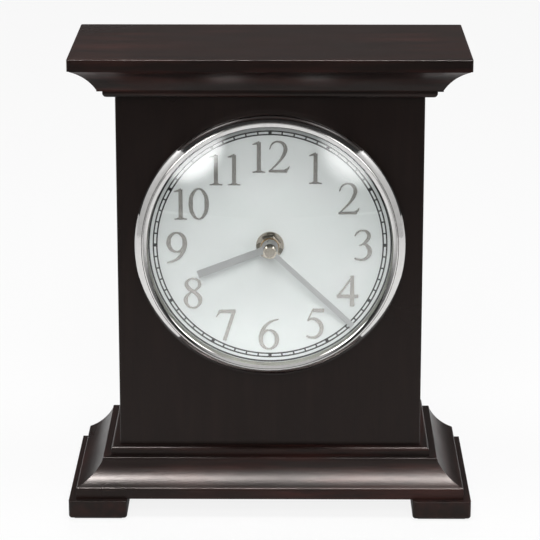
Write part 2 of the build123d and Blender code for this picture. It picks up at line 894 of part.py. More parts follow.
coil_h = stator_front + core_thickness / 2
coil_length_plane = Plane(
    origin=(coil_x, y_face - coil_h, dial_height + rotor_spot[1]), x_dir=(1, 0, 0), z_dir=(0, -1, 0)
)
with BuildPart() as coil:
    with BuildSketch(coil_length_plane):
        half_length = coil_length / 2
        Polygon(
            (0, -half_length),
            (coil_radius, -half_length),
            (coil_radius, coil_flange - half_length),
            (coil_radius - coil_winding_inset, coil_flange - half_length),
            (coil_radius - coil_winding_inset, half_length - coil_flange),
            (coil_radius, half_length - coil_flange),
            (coil_radius, half_length),
            (0, half_length),
            align=None,
        )
    revolve(axis=Axis(coil_length_plane.origin, (0, 0, 1)))
    with BuildSketch(dial_plane(stator_front)):
        with Locations((coil_x, rotor_spot[1])):
            Rectangle(core_width, 2 * arm_reach + stator_arm)
    extrude(amount=core_thickness)
save(coil, "coil")

# Bridge that carries the back pivots, on four posts of the front shell
bridge_posts = [
    (
        bridge_center_x + sx * (bridge_width / 2 - post_inset),
        sz * (bridge_height / 2 - post_inset),
    )
    for sx in (-1, 1)
    for sz in (-1, 1)
]
train_spots = (minute_spot, third_spot, second_spot, rotor_spot)
setting_hole_radius = setting_arbor_radius + pivot_gap
with BuildPart() as train_bridge:
    with BuildSketch(dial_plane(bridge_back)):
        with Locations((bridge_center_x, 0)):
            RectangleRounded(bridge_width, bridge_height, post_inset)
        with Locations(*train_spots):
            Circle(pivot_radius + pivot_gap, mode=Mode.SUBTRACT)
        Circle(arbor_radius + pivot_gap, mode=Mode.SUBTRACT)
        with Locations(setting_spot):
            Circle(setting_hole_radius, mode=Mode.SUBTRACT)
    extrude(amount=bridge_thickness)
save(train_bridge, "train_bridge")

# Places in the housing: the battery tray on the right, the board and the speaker on the left
tray_half_width = cell_radius + cell_gap + tray_wall
cell_x = coil_x + coil_radius + tray_coil_gap + tray_half_width
mover_right = cell_x + tray_half_width + running_gap + movement_wall
mover_left = mover_right - movement_width
movement_shift = (mover_left + mover_right) / 2
half_height = movement_height / 2
contact_room = contact_thickness + contact_leaf
tray_inner_half = cell_length / 2 + contact_room
tray_half_height = tray_inner_half + tray_wall
cell_h = shell_back + cell_radius + cell_gap
boss_spots = [
    (x, sz * (half_height - boss_inset_z))
    for x in (mover_left + boss_inset_x, cell_x - tray_half_width - boss_gap_x)
    for sz in (-1, 1)
]
boss_reach = half_height - boss_inset_z - boss_radius
board_left = mover_left + movement_wall + board_margin
board_right = bridge_center_x - bridge_width / 2 - board_bridge_gap
board_width = board_right - board_left
board_height = 2 * (boss_reach - board_margin)
board_center_x = (board_left + board_right) / 2
speaker_center_x = mover_left + movement_wall + speaker_margin + speaker_radius
board_posts = [
    (
        board_center_x + sx * (board_width / 2 - board_post_radius),
        sz * (board_height / 2 - board_post_radius),
    )
    for sx in (-1, 1)
    for sz in (-1, 1)
]
inner_corner = movement_corner - movement_wall
inner_width = movement_width - 2 * movement_wall
inner_height = movement_height - 2 * movement_wall
pilot_radius = screw_radius + pivot_gap
board_front = cavity_front - board_post_height
board_back = board_front - board_thickness

with BuildPart() as movement_front_shell:
    with BuildSketch(dial_plane(parting)):
        with Locations((movement_shift, 0)):
            RectangleRounded(movement_width, movement_height, movement_corner)
    extrude(amount=front_shell_depth)
    with BuildSketch(dial_plane(parting)):
        with Locations((movement_shift, 0)):
            RectangleRounded(inner_width, inner_height, inner_corner)
    extrude(amount=cavity_front - parting, mode=Mode.SUBTRACT)
    with BuildSketch(dial_plane(parting)):
        with Locations(*boss_spots):
            Circle(boss_radius)
    extrude(amount=cavity_front - parting)
    with BuildSketch(dial_plane(parting)):
        with Locations(*boss_spots):
            Circle(pilot_radius)
    extrude(amount=screw_depth, mode=Mode.SUBTRACT)
    with BuildSketch(dial_plane(bridge_front)):
        with Locations(*bridge_posts):
            Circle(post_radius)
    extrude(amount=cavity_front - bridge_front)
    with BuildSketch(dial_plane(board_front)):
        with Locations(*board_posts):
            Circle(board_post_radius)
    extrude(amount=board_post_height)
    with BuildSketch(dial_plane(cavity_front)):
        with Locations(*train_spots):
            Circle(pivot_radius + pivot_gap)
        with Locations(setting_spot):
            Circle(setting_hole_radius)
    extrude(amount=pivot_depth + pivot_gap, mode=Mode.SUBTRACT)
    with BuildSketch(dial_plane(cavity_front)):
        Circle(bush_hole_radius)
    extrude(amount=movement_wall, mode=Mode.SUBTRACT)
save(movement_front_shell, "movement_front_shell")

slide_half = switch_lever / 2 + switch_slide_margin
switches = {
    "chime_switch": (chime_switch_x, chime_travel),
    "volume_switch": (volume_switch_x, volume_travel),
}
lever_play = switch_lever + 2 * running_gap
with BuildPart() as movement_rear_shell:
    with BuildSketch(dial_plane(shell_back)):
        with Locations((movement_shift, 0)):
            RectangleRounded(movement_width, movement_height, movement_corner)
    extrude(amount=rear_shell_depth)
    with BuildSketch(dial_plane(cavity_back)):
        with Locations((movement_shift, 0)):
            RectangleRounded(inner_width, inner_height, inner_corner)
    extrude(amount=parting - cavity_back, mode=Mode.SUBTRACT)
    with BuildSketch(dial_plane(shell_back)):
        with Locations((cell_x, 0)):
            Rectangle(2 * tray_half_width, 2 * tray_half_height)
    extrude(amount=tray_floor + tray_wall - shell_back)
    with BuildSketch(dial_plane(shell_back)):
        with Locations(((cell_x + mover_right) / 2, 0)):
            Rectangle(mover_right - cell_x, 2 * tray_half_height)
    extrude(amount=rear_shell_depth)
    with BuildSketch(dial_plane(shell_back)):
        with Locations((cell_x, 0)):
            Rectangle(2 * (cell_radius + cell_gap), 2 * tray_inner_half)
    extrude(amount=tray_floor - shell_back, mode=Mode.SUBTRACT)
    with BuildSketch(dial_plane(cavity_back)):
        with Locations(*boss_spots):
            Circle(boss_radius)
    extrude(amount=parting - cavity_back)
    with BuildSketch(dial_plane(shell_back)):
        with Locations(*boss_spots):
            Circle(screw_radius + screw_clearance)
        with Locations(setting_spot):
            Circle(setting_hole_radius)
        with Locations((speaker_center_x, 0)):
            with GridLocations(0, speaker_slot_pitch, 1, speaker_slot_count):
                SlotOverall(2 * magnet_radius + speaker_slot_pitch, speaker_slot_width)
        for switch_x, travel in switches.values():
            with Locations((switch_x + travel / 2, switch_center_z)):
                Rectangle(lever_play + travel, lever_play)
    extrude(amount=rear_shell_depth, mode=Mode.SUBTRACT)
save(movement_rear_shell, "movement_rear_shell")

with BuildPart() as movement_screws:
    with BuildSketch(dial_plane(shell_back - screw_head_height)):
        with Locations(*boss_spots):
            Circle(screw_head_radius)
    extrude(amount=screw_head_height)
    with BuildSketch(dial_plane(shell_back)):
        with Locations(*boss_spots):
            Circle(screw_radius)
    extrude(amount=rear_shell_depth + screw_depth - running_gap)
save(movement_screws, "movement_screws")

# Battery and its contacts
cell_plane = Plane(
    origin=(cell_x, y_face - cell_h, dial_height - cell_length / 2), x_dir=(1, 0, 0), z_dir=(0, 0, 1)
)
with BuildPart() as battery:
    with BuildSketch(cell_plane):
        Circle(cell_radius)
    extrude(amount=cell_length - cell_nub_height)
    chamfer(battery.edges().filter_by(GeomType.CIRCLE), edge_round)
    with BuildSketch(cell_plane):
        Circle(cell_nub_radius)
    extrude(amount=cell_length)
save(battery, "battery")

contact_half = tray_inner_half
leaf_rise = contact_leaf - running_gap
contact_section = Plane(origin=(cell_x, y_face - cell_h, dial_height), x_dir=(0, -1, 0), z_dir=(1, 0, 0))
with BuildPart() as battery_contacts:
    with BuildSketch(contact_section):
        Polygon(
            (-contact_depth / 2, -contact_half),
            (contact_depth / 2, -contact_half),
            (contact_depth / 2, contact_thickness - contact_half),
            (contact_thickness, contact_thickness + leaf_rise - contact_half),
            (-contact_thickness, contact_thickness + leaf_rise - contact_half),
            (-contact_depth / 2, contact_thickness - contact_half),
            align=None,
        )
    extrude(amount=contact_width / 2, both=True)
    mirror(about=Plane.XY.offset(dial_height))
save(battery_contacts, "battery_contacts")

# Circuit board with its chip and crystal
with BuildPart() as circuit_board:
    with BuildSketch(dial_plane(board_back)):
        with Locations((board_center_x, 0)):
            Rectangle(board_width, board_height)
    extrude(amount=board_thickness)
    with BuildSketch(dial_plane(board_back - chip_height)):
        with Locations((board_center_x, chip_offset)):
            Rectangle(chip_size, chip_size)
    extrude(amount=chip_height)
    with BuildSketch(dial_plane(board_back - crystal_length)):
        with Locations((board_center_x, -chip_offset)):
            Circle(crystal_radius)
    extrude(amount=crystal_length)
save(circuit_board, "circuit_board")

# Speaker facing back, its rim against the grille in the rear shell
rim_front = cavity_back + speaker_rim_height
basket_front = cavity_back + speaker_depth
basket_inner = speaker_radius - speaker_rim
with BuildPart() as speaker_frame:
    with BuildSketch(axis_plane(speaker_center_x)):
        Polygon(
            (speaker_radius, cavity_back),
            (speaker_radius, rim_front),
            (magnet_radius, basket_front + basket_thickness),
            (0, basket_front + basket_thickness),
            (0, basket_front),
            (magnet_radius - basket_thickness, basket_front),
            (basket_inner, rim_front),
            (basket_inner, cavity_back),
            align=None,
        )
    revolve(axis=arbor_axis(speaker_center_x))
save(speaker_frame, "speaker_frame")

with BuildPart() as speaker_magnet:
    with BuildSketch(dial_plane(basket_front + basket_thickness)):
        with Locations((speaker_center_x, 0)):
            Circle(magnet_radius)
    extrude(amount=magnet_height)
save(speaker_magnet, "speaker_magnet")

cone_rim = basket_inner - cone_gap
cone_front = basket_front - cone_gap
with BuildPart() as speaker_cone:
    with BuildSketch(axis_plane(speaker_center_x)):
        Polygon(
            (cone_rim, cavity_back + cone_gap),
            (cone_rim, cavity_back + cone_gap + cone_thickness),
            (cone_foot, cone_front),
            (0, cone_front),
            (0, cone_front - cone_thickness),
            (cone_foot, cone_front - cone_thickness),
            (cone_rim - cone_thickness, cavity_back + cone_gap),
            align=None,
        )
    revolve(axis=arbor_axis(speaker_center_x))
save(speaker_cone, "speaker_cone")

# Setting knob on its arbor, with the pinion that turns the minute wheel
knob_front = shell_back - knob_gap
knob_back = knob_front - knob_height
with BuildPart() as setting_knob:
    with BuildSketch(dial_plane(knob_back)):
        with Locations(setting_spot):
            Circle(knob_radius)
            with PolarLocations(knob_radius, knob_flutes):
                Circle(knob_flute_radius, mode=Mode.SUBTRACT)
    extrude(amount=knob_height)
    with BuildSketch(dial_plane(knob_front)):
        with Locations(setting_spot):
            Circle(setting_arbor_radius)
    extrude(amount=pivot_front - knob_front)
    with BuildSketch(dial_plane(layer_b)):
        draw_gear(setting_spot, motion_module, setting_teeth, setting_phase)
    extrude(amount=gear_thickness)
save(setting_knob, "setting_knob")

# Slide switches: a slider under the back wall with its lever through the slot
for name, (switch_x, travel) in switches.items():
    with BuildPart() as switch:
        with BuildSketch(dial_plane(cavity_back + running_gap)):
            with Locations((switch_x, switch_center_z)):
                Rectangle(2 * slide_half, 2 * slide_half)
        extrude(amount=switch_slide_thickness)
        with BuildSketch(dial_plane(shell_back - switch_lever_height)):
            with Locations((switch_x, switch_center_z)):
                Rectangle(switch_lever, switch_lever)
        extrude(amount=cavity_back + running_gap - shell_back + switch_lever_height)
    save(switch, name)

# Back door, swung on two butt hinges at the left of the case
door_half = inner_half - door_gap
y_door_front = y_case_back - door_thickness
z_door_middle = (z_door_bottom + z_door_top) / 2
knob_x = door_half - door_knob_inset
with BuildPart() as back_door:
    span_box((-door_half, door_half), (y_door_front, y_case_back), (z_door_bottom, z_door_top))
    with BuildSketch(back_face_plane):
        with Locations(*door_screw_spots):
            Circle(screw_hole_radius)
    extrude(amount=door_screw_length, mode=Mode.SUBTRACT)
    with BuildSketch(back_face_plane):
        with Locations((knob_x, z_door_middle)):
            Circle(door_knob_spigot_radius + pivot_gap)
    extrude(amount=door_knob_spigot + pivot_gap, mode=Mode.SUBTRACT)
    with BuildSketch(back_face_plane):
        with Locations((speaker_center_x, dial_height)):
            with GridLocations(0, sound_slot_pitch, 1, sound_slot_count):
                SlotOverall(sound_slot_length, sound_slot_width)
    extrude(amount=door_thickness, mode=Mode.SUBTRACT)
save(back_door, "back_door")

knuckle_length = hinge_height / knuckle_count
barrel_bore = hinge_pin_radius + pivot_gap
leaf_plane = Plane(origin=(0, y_case_back + leaf_thickness, 0), x_dir=(1, 0, 0), z_dir=(0, -1, 0))
leaf_reach = knuckle_radius + leaf_width
knuckle_clear = knuckle_radius + knuckle_gap


def hinge_plane(z):
    return Plane(origin=(inner_gap_x, y_hinge, z), x_dir=(1, 0, 0), z_dir=(0, 0, 1))


with BuildPart() as hinge_case_leaves:
    with BuildSketch(leaf_plane):
        for z in hinge_levels:
            with Locations((inner_gap_x - leaf_reach / 2, z)):
                Rectangle(leaf_reach, hinge_height)
            with Locations((inner_gap_x, z)):
                Rectangle(2 * knuckle_clear, knuckle_length + 2 * knuckle_gap, mode=Mode.SUBTRACT)
        with Locations(*case_screw_spots):
            Circle(screw_hole_radius, mode=Mode.SUBTRACT)
    extrude(amount=leaf_thickness)
    for z in hinge_levels:
        for start in (z - hinge_height / 2, z + knuckle_length / 2 + knuckle_gap):
            with BuildSketch(hinge_plane(start)):
                Circle(knuckle_radius)
            extrude(amount=knuckle_length - knuckle_gap)
            with BuildSketch(hinge_plane(start)):
                Circle(barrel_bore)
            extrude(amount=knuckle_length - knuckle_gap, mode=Mode.SUBTRACT)
save(hinge_case_leaves, "hinge_case_leaves")

with BuildPart() as hinge_door_leaves:
    with BuildSketch(leaf_plane):
        for z in hinge_levels:
            with Locations((inner_gap_x + (knuckle_clear + leaf_reach) / 2, z)):
                Rectangle(leaf_reach - knuckle_clear, hinge_height)
            with Locations((inner_gap_x + leaf_reach / 2, z)):
                Rectangle(leaf_reach, knuckle_length)
        with Locations(*door_screw_spots):
            Circle(screw_hole_radius, mode=Mode.SUBTRACT)
    extrude(amount=leaf_thickness)
    for z in hinge_levels:
        with BuildSketch(hinge_plane(z - knuckle_length / 2)):
            Circle(knuckle_radius)
        extrude(amount=knuckle_length)
        with BuildSketch(hinge_plane(z - knuckle_length / 2)):
            Circle(barrel_bore)
        extrude(amount=knuckle_length, mode=Mode.SUBTRACT)
save(hinge_door_leaves, "hinge_door_leaves")

with BuildPart() as hinge_pins:
    for z in hinge_levels:
        with BuildSketch(hinge_plane(z - hinge_height / 2)):
            Circle(hinge_pin_radius)
        extrude(amount=hinge_height)
save(hinge_pins, "hinge_pins")

head_plane = Plane(
    origin=(0, y_case_back + leaf_thickness + hinge_screw_head_height, 0),
    x_dir=(1, 0, 0),
    z_dir=(0, -1, 0),
)
for name, spots, length in (
    ("case_screws", case_screw_spots, case_screw_length),
    ("door_screws", door_screw_spots, door_screw_length),
):
    with BuildPart() as screws:
        with BuildSketch(head_plane):
            with Locations(*spots):
                Circle(hinge_screw_head_radius)
        extrude(amount=hinge_screw_head_height)
        with BuildSketch(leaf_plane):
            with Locations(*spots):
                Circle(hinge_screw_radius)
        extrude(amount=leaf_thickness + length - running_gap)
    save(screws, name)

knob_section = Plane(origin=(knob_x, y_case_back, z_door_middle), x_dir=(1, 0, 0), z_dir=(0, 0, 1))
with BuildPart() as door_knob:
    with BuildSketch(knob_section):
        Polygon(
            (0, door_knob_height),
            (0, -door_knob_spigot),
            (door_knob_spigot_radius, -door_knob_spigot),
            (door_knob_spigot_radius, 0),
            (door_knob_neck_radius, 0),
            (door_knob_neck_radius, door_knob_neck),
            (door_knob_radius, door_knob_neck),
            (door_knob_radius, door_knob_height - edge_round),
            (door_knob_radius - edge_round, door_knob_height),
            align=None,
        )
    revolve(axis=Axis(knob_section.origin, (0, 1, 0)))
save(door_knob, "door_knob")

strike_right = door_half - door_gap
y_strike_front = y_door_front - strike_thickness
with BuildPart() as catch_strike:
    span_box(
        (strike_right - strike_width, strike_right),
        (y_strike_front, y_door_front),
        (z_door_middle - strike_height / 2, z_door_middle + strike_height / 2),
    )
save(catch_strike, "catch_strike")

with BuildPart() as catch_magnet:
    span_box(
        (inner_half - catch_width, inner_half),
        (y_strike_front - catch_gap - catch_depth, y_strike_front - catch_gap),
        (z_door_middle - catch_height / 2, z_door_middle + catch_height / 2),
    )
save(catch_magnet, "catch_magnet")
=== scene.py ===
# %% [markdown]
# # A mantel clock in dark wood
# The joinery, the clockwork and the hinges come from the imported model, which is loaded first and never moved.
# This lesson gives every part its finish and models what the eye rests on: the turned bezel, the domed glass,
# the applied numerals and the printed minute track. All lengths are in metres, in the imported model's own
# frame.

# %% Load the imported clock
import json
import math

import bpy
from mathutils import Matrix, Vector


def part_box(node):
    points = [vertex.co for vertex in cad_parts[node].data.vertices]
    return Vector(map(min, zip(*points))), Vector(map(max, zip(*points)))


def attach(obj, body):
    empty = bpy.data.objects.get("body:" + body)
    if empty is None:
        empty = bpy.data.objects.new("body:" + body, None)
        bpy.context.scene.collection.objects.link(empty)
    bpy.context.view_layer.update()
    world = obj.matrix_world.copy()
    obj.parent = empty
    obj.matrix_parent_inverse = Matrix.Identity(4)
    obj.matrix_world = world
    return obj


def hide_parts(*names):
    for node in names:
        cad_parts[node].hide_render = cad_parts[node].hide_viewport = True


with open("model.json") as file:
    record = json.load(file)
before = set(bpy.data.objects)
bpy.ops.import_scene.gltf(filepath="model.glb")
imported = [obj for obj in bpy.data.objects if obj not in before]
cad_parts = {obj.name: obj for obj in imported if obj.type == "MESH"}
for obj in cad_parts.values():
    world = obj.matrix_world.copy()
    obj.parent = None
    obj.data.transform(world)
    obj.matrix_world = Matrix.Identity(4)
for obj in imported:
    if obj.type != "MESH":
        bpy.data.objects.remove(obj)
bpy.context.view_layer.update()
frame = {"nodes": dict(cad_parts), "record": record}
nodes = frame["nodes"]

# %% [markdown]
# The dial is what everything on the front is measured from, so its centre and the planes of the panel and the
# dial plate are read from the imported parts. A point of the dial insert is then a radius and a height before
# the front panel, which is how a turner would note it on a drawing.

# %% Measure the dial
MM = 0.001
panel_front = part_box("front_panel")[0].y
dial_low, dial_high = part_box("dial_plate")
dial_x = (dial_low.x + dial_high.x) / 2
dial_z = (dial_low.z + dial_high.z) / 2
dial_height = (panel_front - dial_low.y) / MM


def on_dial(across, up, height):
    """A place in front of the dial's centre, from millimetres."""
    return Vector((dial_x + across * MM, panel_front - height * MM, dial_z + up * MM))


print("dial centre in mm", round(dial_x / MM, 2), round(dial_z / MM, 2), "dial stands", round(dial_height, 2))

# %% [markdown]
# The photograph was taken with a long lens from a little above the clock, almost square to its front. A long
# lens keeps the case's uprights parallel, so the camera stands well back and looks gently down. An operator
# acts on all that is selected, so one helper clears the selection before it adds any new object in this
# lesson.

# %% Place the camera
CAMERA_PLACE = (0.00941, -1.3972, 0.5173)
CAMERA_TILT, CAMERA_TURN = 74.404, 0.395
LENS_MM, NEAREST_SEEN = 174.2, 0.01


def fresh(name, add_operator, **settings):
    """A new object from an add operator, alone in the selection."""
    bpy.ops.object.select_all(action="DESELECT")
    add_operator(**settings)
    bpy.context.object.name = name
    return bpy.context.object


camera = fresh(
    "Camera",
    bpy.ops.object.camera_add,
    location=CAMERA_PLACE,
    rotation=(math.radians(CAMERA_TILT), 0, math.radians(CAMERA_TURN)),
)
camera.data.lens = LENS_MM
camera.data.clip_start = NEAREST_SEEN
bpy.context.scene.camera = camera
bpy.context.scene.view_settings.view_transform = "Standard"
print("camera stands", round(-CAMERA_PLACE[1], 3), "m in front of the clock")

# %% [markdown]
# A material is a tree of nodes with wires between them. A few helpers keep the trees short to write: they
# start a material, add a node, feed its inputs, draw the wires, and put the finished material on a thing.

# %% Helpers: materials, nodes and wires
def new_finish(name):
    """A material, its node tree and its Principled shader."""
    finish = bpy.data.materials.new(name)
    finish.use_nodes = True
    return finish, finish.node_tree, finish.node_tree.nodes["Principled BSDF"]


def feed(socket, value):
    """Link a socket to another one, or give it a plain value."""
    if isinstance(value, bpy.types.NodeSocket):
        socket.id_data.links.new(value, socket)
    else:
        socket.default_value = value


def set_inputs(node, values):
    """Feed a node's inputs by their labels."""
    for label, value in values.items():
        feed(node.inputs[label], value)


def add(tree, kind, operation=None, **values):
    """A node in a tree, its inputs fed by label, underscores for spaces."""
    node = tree.nodes.new("ShaderNode" + kind)
    if operation:
        node.operation = operation
    set_inputs(node, {label.replace("_", " "): value for label, value in values.items()})
    return node


def wire(tree, *wires):
    """Wires in a tree, each as a node, its output, the next node and its input."""
    for source, output, target, socket in wires:
        tree.links.new(source.outputs[output], target.inputs[socket])


def coat(thing, finish):
    """Put one finish on a thing in place of any other."""
    thing.data.materials.clear()
    thing.data.materials.append(finish)


# %% [markdown]
# A studio floor is one wide pale sheet. It is matt, so it shows the clock's shadow and no mirror image, and
# it reaches far enough back to fill the picture behind the clock. A sheet that is only lit greys out towards
# the back, so for the camera most of it glows white, and for mirrors a little of it does.

# %% Lay the floor
FLOOR_SIZE = 14
FLOOR_LOOK = {"Base Color": (0.9, 0.9, 0.9, 1), "Roughness": 0.9, "Specular IOR Level": 0.0}
FLOOR_GLOW = {"Is Camera Ray": 0.86, "Is Transmission Ray": 0.86, "Is Glossy Ray": 0.12}
floor = fresh("studio_floor", bpy.ops.mesh.primitive_plane_add, size=FLOOR_SIZE, location=(0, 0, 0))
floor_paper, floor_tree, floor_shader = new_finish("floor_paper")
set_inputs(floor_shader, FLOOR_LOOK)
floor_rays, floor_mix = add(floor_tree, "LightPath"), add(floor_tree, "MixShader")
glow_share = 0
for ray_kind, share in FLOOR_GLOW.items():
    weigh = add(floor_tree, "Math", "MULTIPLY_ADD")
    for socket, value in zip(weigh.inputs, (floor_rays.outputs[ray_kind], share, glow_share)):
        feed(socket, value)
    glow_share = weigh.outputs["Value"]
feed(floor_mix.inputs["Fac"], glow_share)
wire(
    floor_tree,
    (floor_shader, "BSDF", floor_mix, 1),
    (add(floor_tree, "Emission"), "Emission", floor_mix, 2),
    (floor_mix, "Shader", floor_tree.nodes["Material Output"], "Surface"),
)
coat(floor, floor_paper)
print("floor", FLOOR_SIZE, "m across")

# %% [markdown]
# Even light comes from above: a wide lamp over the clock and two broad suns, one from the front and one from
# behind for the door and the clockwork. All are kept out of mirrors so that they leave no hard shapes there.
# A dim grey world fills the shadows.

# %% Hang the lamps
TOP_PLACE, TOP_SIZE, TOP_POWER = (0, -0.25, 1.5), (1.3, 0.5), 13
SUN_ANGLE = 35
SUNS = {"front_sun": (55, 1.75), "back_sun": (-60, 1.1)}
WORLD_GREY = (0.035, 0.035, 0.035, 1)
top_lamp = fresh("top_lamp", bpy.ops.object.light_add, type="AREA", location=TOP_PLACE)
top_lamp.data.shape = "RECTANGLE"
top_lamp.data.size, top_lamp.data.size_y = TOP_SIZE
top_lamp.data.energy = TOP_POWER
lamps = [top_lamp]
for sun_name, (tilt, strength) in SUNS.items():
    sun = fresh(sun_name, bpy.ops.object.light_add, type="SUN", rotation=(math.radians(tilt), 0, 0))
    sun.data.angle, sun.data.energy = math.radians(SUN_ANGLE), strength
    lamps.append(sun)
for lamp in lamps:
    lamp.visible_glossy = lamp.visible_transmission = False
world = bpy.data.worlds.new("studio")
bpy.context.scene.world = world
world.use_nodes = True
set_inputs(world.node_tree.nodes["Background"], {"Color": WORLD_GREY})
print("a lamp above,", len(SUNS), "suns and a dim world")

# %% [markdown]
# What polished metal, glass and lacquer show is their surroundings, so a photographer builds those as well.
# Two round soft boxes in front draw the white patches on the glass, and their glow fades to the edge as it
# does behind real cloth. A wide dim one between them fills the lower lip of the bezel. All are there for
# mirrors only.

# %% Stand the soft boxes
BOX_SIDES, FIRST_BOUNCE = 48, 0.5
SOFT_BOXES = {
    "left_box": (-36, 25, 1.9, 0.55, 0.6, 8.0),
    "right_box": (37, 24, 1.9, 0.60, 0.4, 6.5),
    "front_box": (0, 22, 2.4, 1.1, 0.5, 0.6),
}


def glowing(name, radius, full, strength):
    """A glow for mirrors, full out to a share of the radius and faded to nothing at the radius."""
    glow, tree, shader = new_finish(name)
    tree.nodes.remove(shader)
    reach = add(tree, "VectorMath", "LENGTH")
    fade = add(tree, "MapRange", From_Min=radius * full, From_Max=radius, To_Min=strength, To_Max=0)
    fade.interpolation_type = "SMOOTHSTEP"
    mirrored, kept = add(tree, "Math", "LESS_THAN"), add(tree, "Math", "MULTIPLY")
    mirrored.inputs[1].default_value = FIRST_BOUNCE
    shine = add(tree, "Emission")
    wire(
        tree,
        (add(tree, "TexCoord"), "Object", reach, 0),
        (reach, "Value", fade, "Value"),
        (add(tree, "LightPath"), "Diffuse Depth", mirrored, 0),
        (fade, "Result", kept, 0),
        (mirrored, "Value", kept, 1),
        (kept, "Value", shine, "Strength"),
        (shine, "Emission", tree.nodes["Material Output"], "Surface"),
    )
    return glow


def stand(thing, finish):
    """Give a studio thing its finish and show it to mirrors only."""
    coat(thing, finish)
    thing.visible_camera = thing.visible_diffuse = thing.visible_shadow = False


for box_name, (azimuth, rise, distance, radius, full, strength) in SOFT_BOXES.items():
    across, up = math.radians(azimuth), math.radians(rise)
    aim = Vector((math.sin(across), -math.cos(across), 0)) * math.cos(up) + Vector((0, 0, math.sin(up)))
    box = fresh(
        box_name,
        bpy.ops.mesh.primitive_circle_add,
        vertices=BOX_SIDES,
        radius=radius,
        fill_type="NGON",
        location=on_dial(0, 0, 0) + aim * distance,
        rotation=aim.to_track_quat("Z", "Y").to_euler(),
    )
    stand(box, glowing(box_name, radius, full, strength))
    box.visible_transmission = box_name != "front_box"
print("soft boxes:", ", ".join(SOFT_BOXES))

# %% [markdown]
# Cards do the rest for the mirrors. A bright strip above draws the line along the base moulding, pale cards
# at the sides light the flanks of the bezel, and a dim warm one far behind colours the sheen of the top
# board. A grey cloth on the floor in front, thin at its near edge, darkens what the upper numerals mirror.

# %% Stand the cards and lay the cloth
COOL_WHITE, WARM_WHITE = (1, 1, 1, 1), (1, 0.74, 0.68, 1)
CARDS = {
    "strip_card": ((0, -0.09, 1.5), (0, 0, 0), (1.6, 0.24), 112, COOL_WHITE),
    "left_card": ((-0.8, -0.35, 0.40), (0, 90, 0), (0.76, 0.9), 0.5, COOL_WHITE),
    "right_card": ((0.8, -0.35, 0.40), (0, 90, 0), (0.76, 0.9), 0.5, COOL_WHITE),
    "back_card": ((0, 2.4, 0.75), (90, 0, 0), (6, 1.5), 0.065, WARM_WHITE),
}
CLOTH_SIZE, CLOTH_NEAR, CLOTH_FADE, CLOTH_LIFT = 6, 0.32, 0.45, 0.002
CLOTH_LOOK = {"Base Color": (0.11, 0.11, 0.11, 1), "Roughness": 1.0}
for card_name, (place, turn, size, strength, tone) in CARDS.items():
    card = fresh(
        card_name,
        bpy.ops.mesh.primitive_plane_add,
        size=1,
        location=place,
        rotation=[math.radians(angle) for angle in turn],
    )
    card.scale = (*size, 1)
    card_glow, _, card_shader = new_finish(card_name)
    set_inputs(
        card_shader, {"Base Color": (0, 0, 0, 1), "Emission Color": tone, "Emission Strength": strength}
    )
    stand(card, card_glow)
    card.visible_transmission = card_name != "strip_card"

cloth_place = (0, -CLOTH_NEAR - CLOTH_SIZE / 2, CLOTH_LIFT)
cloth = fresh("grey_cloth", bpy.ops.mesh.primitive_plane_add, size=CLOTH_SIZE, location=cloth_place)
grey_cloth, cloth_tree, cloth_shader = new_finish("grey_cloth")
set_inputs(cloth_shader, CLOTH_LOOK)
cloth_depth = add(cloth_tree, "SeparateXYZ")
cloth_fade = add(cloth_tree, "MapRange", From_Min=CLOTH_SIZE / 2, From_Max=CLOTH_SIZE / 2 - CLOTH_FADE)
wire(
    cloth_tree,
    (add(cloth_tree, "TexCoord"), "Object", cloth_depth, "Vector"),
    (cloth_depth, "Y", cloth_fade, "Value"),
    (cloth_fade, "Result", cloth_shader, "Alpha"),
)
stand(cloth, grey_cloth)
print("cards:", ", ".join(CARDS), "and a grey cloth")

# %% [markdown]
# Effects that several finishes share are shader node groups, built once. These helpers make an empty group
# with named sockets, and the patterns, ranges and mixes inside it. Both groups of this clock put out a
# colour, a roughness and a height.

# %% Helpers for groups
SURFACE = {"Color": "Color", "Roughness": "Float", "Height": "Float"}


def new_group(name, takes):
    """A shader group with inputs, each of a kind of socket, and a surface's outputs."""
    group = bpy.data.node_groups.new(name, "ShaderNodeTree")
    for side, labels in (("INPUT", takes), ("OUTPUT", SURFACE)):
        for label, kind in labels.items():
            group.interface.new_socket(label, in_out=side, socket_type="NodeSocket" + kind)
    return group, group.nodes.new("NodeGroupInput"), group.nodes.new("NodeGroupOutput")


def multiplied(tree, kind, first, second):
    """Two values, or two vectors axis by axis, multiplied."""
    times = add(tree, kind, "MULTIPLY")
    feed(times.inputs[0], first)
    feed(times.inputs[1], second)
    return times.outputs[0]


def noise(tree, vector, scale, detail):
    """A noise pattern read at a vector."""
    return add(tree, "TexNoise", Vector=vector, Scale=scale, Detail=detail).outputs["Fac"]


def ranged(tree, value, low, high, to_low, to_high):
    """A value stretched from one range to another, held inside it."""
    spread = add(tree, "MapRange", Value=value, From_Min=low, From_Max=high, To_Min=to_low, To_Max=to_high)
    return spread.outputs["Result"]


def blended(tree, factor, first, second, blend="MIX"):
    """Two colours mixed by a factor."""
    mix = add(tree, "Mix")
    mix.data_type, mix.blend_type = "RGBA", blend
    set_inputs(mix, {"Factor": factor})
    for label, colour in (("A", first), ("B", second)):
        feed(next(s for s in mix.inputs if s.name == label and s.type == "RGBA"), colour)
    return next(s for s in mix.outputs if s.type == "RGBA")


def give(group, gives, *sources):
    """Feed the outputs of a surface."""
    set_inputs(gives, dict(zip(SURFACE, sources)))
    print("group", group.name, "with", len(group.nodes), "nodes")


# %% [markdown]
# Stained wood under a dark lacquer shows long soft streaks where the stain took more or less, and short thin
# pores. Both run with the grain, so the group takes a vector whose X axis is the grain and draws the noise
# out along it. Out come a colour, a roughness and a height.

